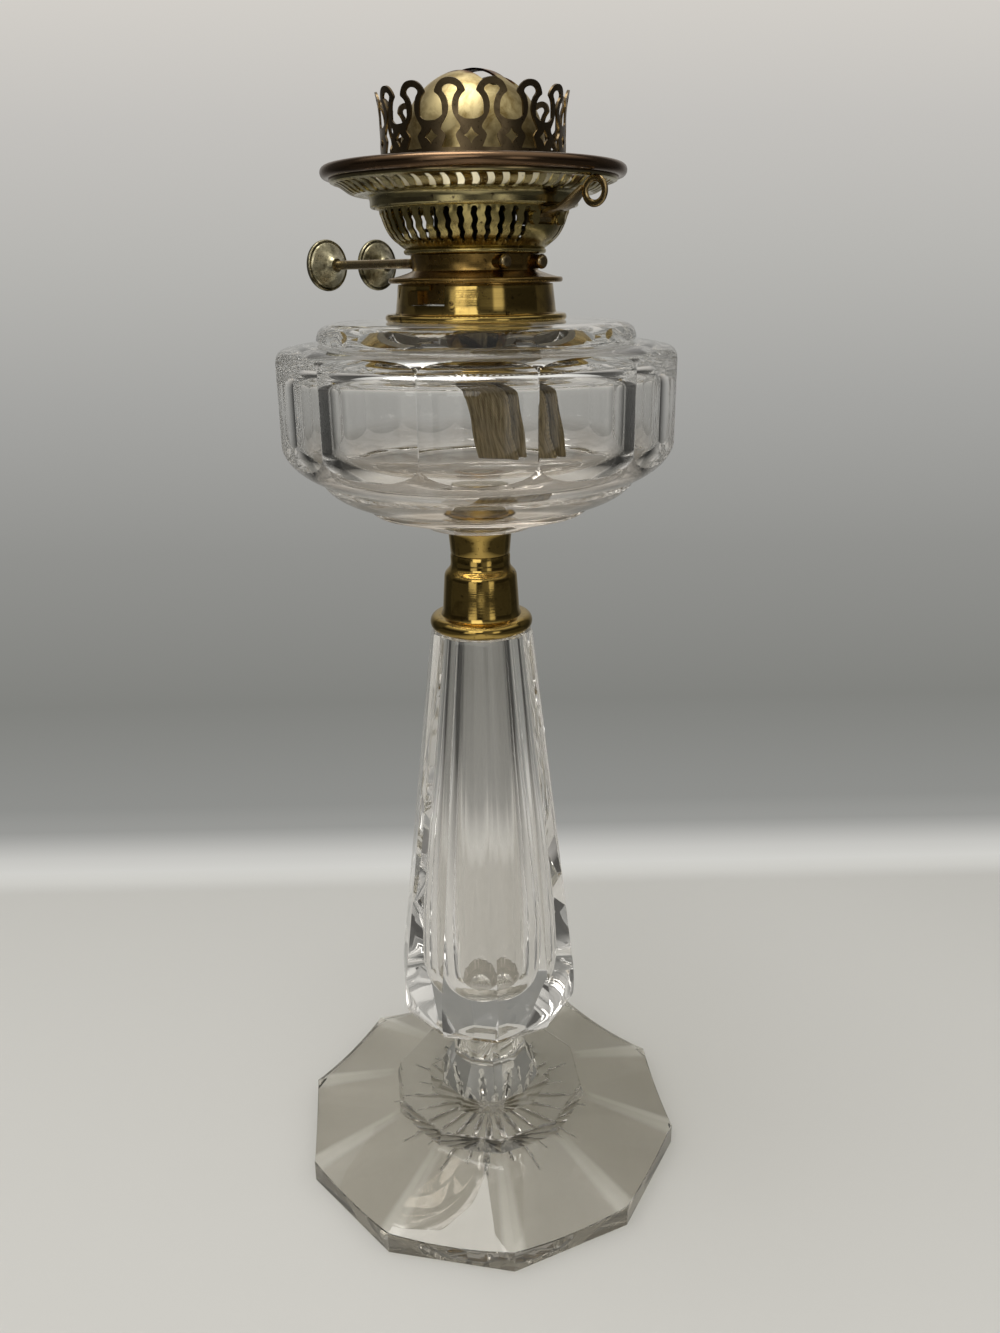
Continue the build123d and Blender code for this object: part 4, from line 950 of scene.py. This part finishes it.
cotton, tree, output = blank_material("woven_cotton")
lay = add_node(tree, "UVMap", uv_map="band")
twill = add_node(tree, "Mapping", {"Rotation": (0, 0, radians(28)), "Vector": lay})
ribs = add_node(
    tree, "TexWave",
    {"Scale": 0.34, "Distortion": 1.6, "Detail": 2, "Detail Scale": 3, "Vector": twill},
)
long_way = add_node(tree, "Mapping", {"Scale": (1.0, 0.10, 1.0), "Vector": lay})
streaks = add_node(tree, "TexNoise", {"Scale": 0.7, "Detail": 7, "Roughness": 0.7, "Vector": long_way})
threads = add_node(tree, "TexNoise", {"Scale": 5, "Detail": 4, "Vector": lay})
stained = colour_ramp(
    tree, streaks.outputs["Fac"],
    [
        (0.34, (0.07, 0.05, 0.024)),
        (0.45, (0.21, 0.16, 0.078)),
        (0.58, (0.40, 0.32, 0.175)),
        (0.74, (0.62, 0.53, 0.35)),
    ],
)
rib_tone = colour_ramp(tree, ribs.outputs["Fac"], [(0.15, (0.35, 0.33, 0.30)), (0.7, (1.0, 1.0, 1.0))])
ribbed = mix_colours(tree, 0.55, stained, rib_tone, "MULTIPLY")
place, axes = object_axes(tree)
char = map_range(tree, axes.outputs["Z"], 451 * mm, 456 * mm)
burnt = mix_colours(tree, char, ribbed, (0.012, 0.010, 0.009, 1))
fluff = calculate(tree, "ADD", ribs.outputs["Fac"], threads.outputs["Fac"])
weave = add_node(tree, "Bump", {"Strength": 0.7, "Distance": 0.0005, "Height": fluff})
cloth = {"Roughness": 0.92, "Specular IOR Level": 0.25, "Sheen Weight": 0.15}
shader = add_node(tree, "BsdfPrincipled", cloth | {"Base Color": burnt, "Normal": weave})
tree.links.new(shader.outputs[0], output.inputs["Surface"])

tube_offset = 5.3
wick_top, wick_bend, bend_radius = 457.5, 381.5, 120.0
wick_length, wick_width, wick_thickness = 132.0, 25.0, 2.2
wick_twist, wick_drift = 26, 6.2
for name, side in (("front", 1), ("rear", -1)):
    bm = bmesh.new()
    bmesh.ops.create_grid(bm, x_segments=20, y_segments=90, size=0.5)
    band = bm.loops.layers.uv.new("band")
    for face in bm.faces:
        for corner in face.loops:
            corner[band].uv = (corner.vert.co.x * wick_width, (corner.vert.co.y + 0.5) * wick_length)
    towards = Vector((cos(radians(winder_way + 90)), sin(radians(winder_way + 90)), 0))
    wide = Vector((cos(radians(winder_way)), sin(radians(winder_way)), 0))
    for vertex in bm.verts:
        across, down = vertex.co.x, (0.5 - vertex.co.y) * wick_length
        straight = wick_top - wick_bend
        bend = max(0.0, down - straight) / bend_radius
        loose = min(1.0, max(0.0, down - straight - 3) / 20)
        lean = side * tube_offset - bend_radius * (1 - cos(bend))
        height = wick_top - min(down, straight) - bend_radius * sin(bend)
        ripple = loose * (0.7 * sin(down * 0.23 + side + 5 * across) + 0.5 * sin(9 * across + side))
        breadth = wick_width * (across * (1 - 0.03 * loose) + 0.012 * loose * sin(0.31 * down + 2 * side))
        sway = loose * loose * (3 - 2 * loose)
        twisted = Matrix.Rotation(radians(wick_twist) * sway, 3, "Z") @ wide
        place = towards * (lean + ripple) + twisted * breadth + Vector((wick_drift * sway, 0, 0))
        vertex.co = (place.x * mm, place.y * mm, height * mm)
    bmesh.ops.recalc_face_normals(bm, faces=bm.faces)
    for vertex in bm.verts:
        vertex.co -= vertex.normal * wick_thickness / 2 * mm
    bmesh.ops.solidify(bm, geom=bm.faces[:], thickness=-wick_thickness * mm)
    rim = [e for e in bm.edges if e.is_manifold and e.calc_face_angle(0) > radians(60)]
    bmesh.ops.bevel(bm, geom=rim, offset=0.6 * mm, segments=2, profile=0.5, affect="EDGES", material=-1)
    shade(bm, 50)
    wick = add_piece(f"wick_{name}_woven", bm, cotton)
    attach(wick, f"{name}_wick")
    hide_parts(f"wick_{name}")

# ---------------------------------------------------------------------------
# Extinguisher
# Two thin sleeves slide up the wick tubes to snuff the flames. A cranked lever
# on a pin behind the basket raises them: its broad strap follows the underside
# of the tray and ends in a finger ring.
# ---------------------------------------------------------------------------

pivot_radius, pivot_height, ring_radius, ring_height = 30.8, 414.5, 53.2, 422.5


def strap(bm, points, widths, thickness):
    """Adds a bent strip of metal that follows points of radius and height, with a width at each point."""
    piece = bmesh.new()
    edge = chain(piece, points)
    for vertex, width in zip(edge, widths):
        vertex.co.y = -width / 2 * mm
    lines = piece.edges[:]
    made = bmesh.ops.extrude_edge_only(piece, edges=lines)["geom"]
    far = [v for v in made if isinstance(v, bmesh.types.BMVert)]
    for vertex in far:
        vertex.co.y *= -1
    bmesh.ops.recalc_face_normals(piece, faces=piece.faces)
    bmesh.ops.solidify(piece, geom=piece.faces[:], thickness=thickness * mm)
    low = sum(v.co.z for v in piece.verts) / len(piece.verts)
    middle = sum(z for x, z in points) / len(points) * mm
    corners = [e for e in piece.edges if e.is_manifold and e.calc_face_angle(0) > radians(60)]
    bmesh.ops.translate(piece, vec=(0, 0, middle - low), verts=piece.verts)
    bmesh.ops.bevel(
        piece, geom=corners, offset=0.22 * mm, segments=2, profile=0.5, affect="EDGES", material=-1
    )
    join(bm, piece)


bm = bmesh.new()
outside = path(
    (pivot_radius, pivot_height),
    ((32.0, 415.6), (33.4, 416.6), (35.4, 417.3), (38.4, 417.6), 8),
    ((39.6, 417.8), (42.6, 418.8), (45.2, 421.4), (48.4, 424.0), 10),
)
strap(bm, outside, [8.6] * (len(outside) - 8) + [8.4, 8.1, 7.7, 7.2, 6.5, 5.7, 4.8, 4.0], 1.15)
strap(bm, path((pivot_radius, pivot_height), (24.2, 410.5), (19.2, 409.9)), [3.9, 3.9, 3.9], 1.1)
# the hub on the pin, and the nose that works the yoke
for segments, radius, width, out, height in (
    (32, 1.85, 8.6, pivot_radius, pivot_height), (24, 1.15, 3.9, 18.96, 410.19),
):
    bar = bmesh.ops.create_cone(
        bm, cap_ends=True, segments=segments, radius1=radius * mm, radius2=radius * mm, depth=width * mm
    )["verts"]
    swing(bm, 90, bar, "X")
    bmesh.ops.translate(bm, vec=(out * mm, 0, height * mm), verts=bar)
ring = lathe(
    48, (4.0, 0.75),
    ((4.0, 0.75), (5.6, 0.75), (5.6, -0.75), (4.0, -0.75), 9),
    ((4.0, -0.75), (2.4, -0.75), (2.4, 0.75), (4.0, 0.75), 9),
)
swing(ring, 90, axis="X")
bmesh.ops.translate(ring, vec=(ring_radius * mm, 0, ring_height * mm), verts=ring.verts)
join(bm, ring)
swing(bm, lever_way)
shade(bm, 34)
lever_brass = brass(
    "lever_brass", (0.34, 0.25, 0.12), (0.10, 0.065, 0.03), 0.6, scale=120, softness=0.3,
    polished=0.24, dull=0.42, marks=0,
)
lever = add_piece("extinguisher_lever_bent", bm, lever_brass)
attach(lever, "lever")
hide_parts("extinguisher_lever")
dress(soot_brass, "extinguisher_sleeve_front", "extinguisher_sleeve_rear", "extinguisher_yoke")
dress(spindle_brass, "lever_pin")

# ---------------------------------------------------------------------------
# Shade tray
# A pressed brass tray that holds a glass shade inside its rolled edge. Sixty
# curved slots run round its ogee to feed the flames with air, and a short
# plain cup below sits on the rim of the basket.
# ---------------------------------------------------------------------------

tray_slots = 60
bm, along = sheet_for_slots(
    path(
        (36.9, 419.3), (37.7, 419.3), (38.1, 419.7), (38.1, 421.2),
        ((38.1, 421.2), (38.1, 422.9), (39.2, 423.7), (41.2, 423.8), 8),
        (42.2, 423.6),
    ),
    path(((43.6, 423.6), (46.4, 424.0), (48.0, 426.4), (50.6, 427.2), 16)),
    path((51.4, 427.35), (52.1, 427.7), (52.4, 428.5), (52.2, 429.2)), tray_slots * 8,
)
open_slots(bm, along, tray_slots, lambda t: 0.24 - 0.02 * t, lambda t: 1.15 * sin(pi * t) - 0.2 * t)
give_wall(bm, 0.7)
rolled = lathe(
    240,
    ((53.3, 428.8), (56.25, 428.8), (56.25, 433.2), (53.3, 433.2), 14),
    ((53.3, 433.2), (50.35, 433.2), (50.35, 428.8), (53.3, 428.8), 14),
)
join(bm, rolled)
shade(bm, 40)
tray_brass = brass(
    "tray_brass", (0.42, 0.36, 0.18), (0.16, 0.11, 0.05), 0.5, scale=60, softness=0.3, polished=0.2,
    dull=0.4, edges=(427.9, 428.9, (0.17, 0.105, 0.06)),
)
tray = add_piece("shade_tray_pressed", bm, tray_brass)
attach(tray, "gallery")
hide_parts("shade_tray")

bm = lathe(
    192, (37.1, 420.3), (37.1, 423.0),
    ((37.1, 423.0), (37.0, 426.4), (35.4, 427.6), (34.6, 432.8), 10),
    ((34.6, 432.8), (34.5, 434.2), (34.4, 434.5), (33.8, 434.5), 5),
    (24.7, 434.5), (24.7, 433.7), (33.4, 433.7), (34.0, 430.5), (36.3, 423.0), (36.3, 420.3),
    (37.1, 420.3),
)
shade(bm, 38)
# painted light: the plate's brass is pale cream, far lighter than the rest, so that it shows bright through
# the tray's slots as if lit from above
plate_brass_painted_light = brass(
    "plate_brass_painted_light", (0.88, 0.80, 0.57), (0.50, 0.41, 0.24), 0.4, scale=60, softness=0.3,
    polished=0.3, dull=0.5,
)
plate = add_piece("chimney_plate_spun", bm, plate_brass_painted_light)
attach(plate, "gallery")
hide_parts("chimney_plate")

# ---------------------------------------------------------------------------
# Chimney crown
# A strip of springy brass, pierced, bent round and soldered to the plate. Its
# fifteen lobes grip the foot of the glass chimney. Heat has turned it nearly
# black.
# ---------------------------------------------------------------------------

lobes, crown_radius = 15, 33.4
half_lobe_width = pi * crown_radius / lobes
outline = path(
    ((0.0, 457.0), (2.3, 457.0), (4.1, 455.9), (5.15, 453.5), 9),
    (5.2, 453.0),
    ((4.9, 452.7), (3.6, 451.9), (2.75, 450.6), (2.75, 448.5), 7),
    ((2.75, 446.3), (4.4, 444.75), (5.6, 444.75), (half_lobe_width, 444.75), 8),
    ((half_lobe_width, 442.5), (6.6, 441.4), (5.7, 440.5), (4.5, 439.95), 5),
    ((4.6, 439.8), (5.7, 439.3), (6.6, 438.5), (half_lobe_width, 437.4), 5),
    (half_lobe_width, 434.5), (0.0, 434.5), (0.0, 436.35), (3.25, 436.4),
    ((3.2, 436.6), (2.7, 437.8), (1.9, 439.0), (1.75, 440.0), 5),
    ((1.8, 440.2), (2.2, 441.2), (3.3, 441.6), (3.4, 442.4), 5),
    ((3.4, 442.6), (3.2, 443.8), (1.9, 444.4), (0.95, 446.8), 6),
    ((0.9, 447.2), (0.5, 448.4), (0.6, 450.2), (1.5, 451.8), 6),
    ((1.6, 452.0), (1.9, 452.5), (2.6, 452.9), (2.6, 453.4), 4),
    ((2.6, 453.6), (2.5, 454.3), (1.4, 455.0), (0.0, 455.0), 6),
)
bm = bmesh.new()
edge = chain(bm, outline)
bm.edges.new((edge[-1], edge[0]))
bmesh.ops.contextual_create(bm, geom=bm.edges[:])
bmesh.ops.triangulate(bm, faces=bm.faces[:])
for cut in range(1, 8):
    bmesh.ops.bisect_plane(
        bm, geom=bm.verts[:] + bm.edges[:] + bm.faces[:], dist=1e-7,
        plane_co=(cut * half_lobe_width / 8 * mm, 0, 0), plane_no=(1, 0, 0),
    )
for height in (440.0, 444.0, 448.0, 450.0, 452.0, 454.0):
    bmesh.ops.bisect_plane(
        bm, geom=bm.verts[:] + bm.edges[:] + bm.faces[:], dist=1e-7, plane_co=(0, 0, height * mm),
        plane_no=(0, 0, 1),
    )
bmesh.ops.mirror(
    bm, geom=bm.verts[:] + bm.edges[:] + bm.faces[:], matrix=Matrix.Identity(4), merge_dist=1e-6,
    axis="X",
)
first_lobe = radians(-90 - 0.04 * 24 + 12)
for vertex in bm.verts:
    turn = first_lobe + vertex.co.x / (crown_radius * mm)
    flare = max(0.0, vertex.co.z / mm - 447) / 10
    radius = (crown_radius + 1.3 * flare**2 - 0.35 * max(0.0, flare - 0.85)) * mm
    vertex.co.x, vertex.co.y = radius * cos(turn), radius * sin(turn)
bmesh.ops.spin(
    bm, geom=bm.verts[:] + bm.edges[:] + bm.faces[:], cent=(0, 0, 0), axis=(0, 0, 1),
    angle=2 * pi * (lobes - 1) / lobes, steps=lobes - 1, use_duplicate=True,
)
bmesh.ops.remove_doubles(bm, verts=bm.verts, dist=2e-5)
give_wall(bm, 0.75)
shade(bm, 40)
crown_brass = brass(
    "heat_darkened_brass", (0.17, 0.125, 0.07), (0.05, 0.036, 0.022), 0.55, scale=110, softness=0.3,
    polished=0.3, dull=0.48, marks=0,
)
crown = add_piece("chimney_crown_pierced", bm, crown_brass)
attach(crown, "gallery")
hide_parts("chimney_crown")

# ---------------------------------------------------------------------------
# Flame dome
# A spun half ball of thin brass over the wicks, with one slot above each flame.
# The flames have scorched it red-brown and black round the slots.
# ---------------------------------------------------------------------------

dome_radius, dome_middle, slot_half_length, slot_half_width = 26.0, 438.7, 17.5, 3.3
upper_part = 450 * mm


def round_dome(angle):
    """A point of the ball's outline, by its angle in degrees above the ball's middle."""
    return dome_radius * cos(radians(angle)), dome_middle + dome_radius * sin(radians(angle))


bm = lathe(
    144, (28.8, 434.6), (28.8, 435.2), (26.4, 435.3), (26.0, 435.8),
    *[round_dome(step * 3) for step in range(0, 30)],
    (0.0, dome_middle + dome_radius),
)
turn = Matrix.Rotation(radians(winder_way), 3, "Z")
for side in (1, -1):
    edges = []
    for step in range(12):
        angle = radians(step * 30 + 15)
        end = 1 if cos(angle) > 0 else -1
        centre = Vector((end * (slot_half_length - slot_half_width), side * tube_offset, 0))
        normal = Vector((cos(angle), sin(angle), 0))
        edges.append((turn @ ((centre + normal * slot_half_width) * mm), turn @ normal))
    for side_way in (1, -1):
        edges.append(
            (
                turn @ (Vector((0, side * tube_offset + side_way * slot_half_width, 0)) * mm),
                turn @ Vector((0, side_way, 0)),
            ),
        )
    for point, normal in edges:
        near = [f for f in bm.faces if f.calc_center_median().z > upper_part]
        verts = list({v for f in near for v in f.verts})
        lines = list({e for f in near for e in f.edges})
        bmesh.ops.bisect_plane(
            bm, geom=verts + lines + near, dist=1e-7, plane_co=point, plane_no=normal
        )
    gone = []
    for face in bm.faces:
        middle = face.calc_center_median()
        if middle.z > upper_part and all((middle - point).dot(normal) < 1e-6 for point, normal in edges):
            gone.append(face)
    bmesh.ops.delete(bm, geom=gone, context="FACES")
give_wall(bm, 0.7)
shade(bm, 40)
dome_brass, tree, output = blank_material("dome_brass")
place = add_node(tree, "TexCoord")
square = add_node(
    tree, "Mapping", {"Rotation": (0, 0, radians(winder_way)), "Vector": place.outputs["Object"]},
    vector_type="TEXTURE",
)
axes = add_node(tree, "SeparateXYZ", {0: square})
near_slot = calculate(tree, "ABSOLUTE", axes.outputs["Y"])
from_slot = calculate(tree, "SUBTRACT", near_slot, tube_offset * mm)
away = calculate(tree, "ABSOLUTE", from_slot)
wander = add_node(tree, "TexNoise", {"Scale": 160, "Detail": 6, "Vector": place.outputs["Object"]})
ragged = calculate(tree, "MULTIPLY_ADD", wander.outputs["Fac"], 9 * mm, away)
low_down = map_range(tree, axes.outputs["Z"], 463 * mm, 455 * mm, 0, 9 * mm)
scorch_way = calculate(tree, "ADD", ragged, low_down)
scorch = map_range(tree, scorch_way, 6.6 * mm, 12.5 * mm)
tones = colour_ramp(
    tree, scorch,
    [
        (0.0, (0.012, 0.009, 0.008)),
        (0.30, (0.06, 0.022, 0.014)),
        (0.5, (0.26, 0.13, 0.06)),
        (0.66, (0.48, 0.38, 0.20)),
        (1.0, (0.60, 0.49, 0.25)),
    ],
)
stains = patches(tree, place, 110, 0.62, 0.2)
dusky = mix_colours(tree, stains, tones, (0.45, 0.39, 0.27, 1), "MULTIPLY")
shader = add_node(tree, "BsdfPrincipled", {"Metallic": 1, "Roughness": 0.4, "Base Color": dusky})
tree.links.new(shader.outputs[0], output.inputs["Surface"])
dome = add_piece("flame_dome_spun", bm, dome_brass)
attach(dome, "gallery")
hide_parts("flame_dome")
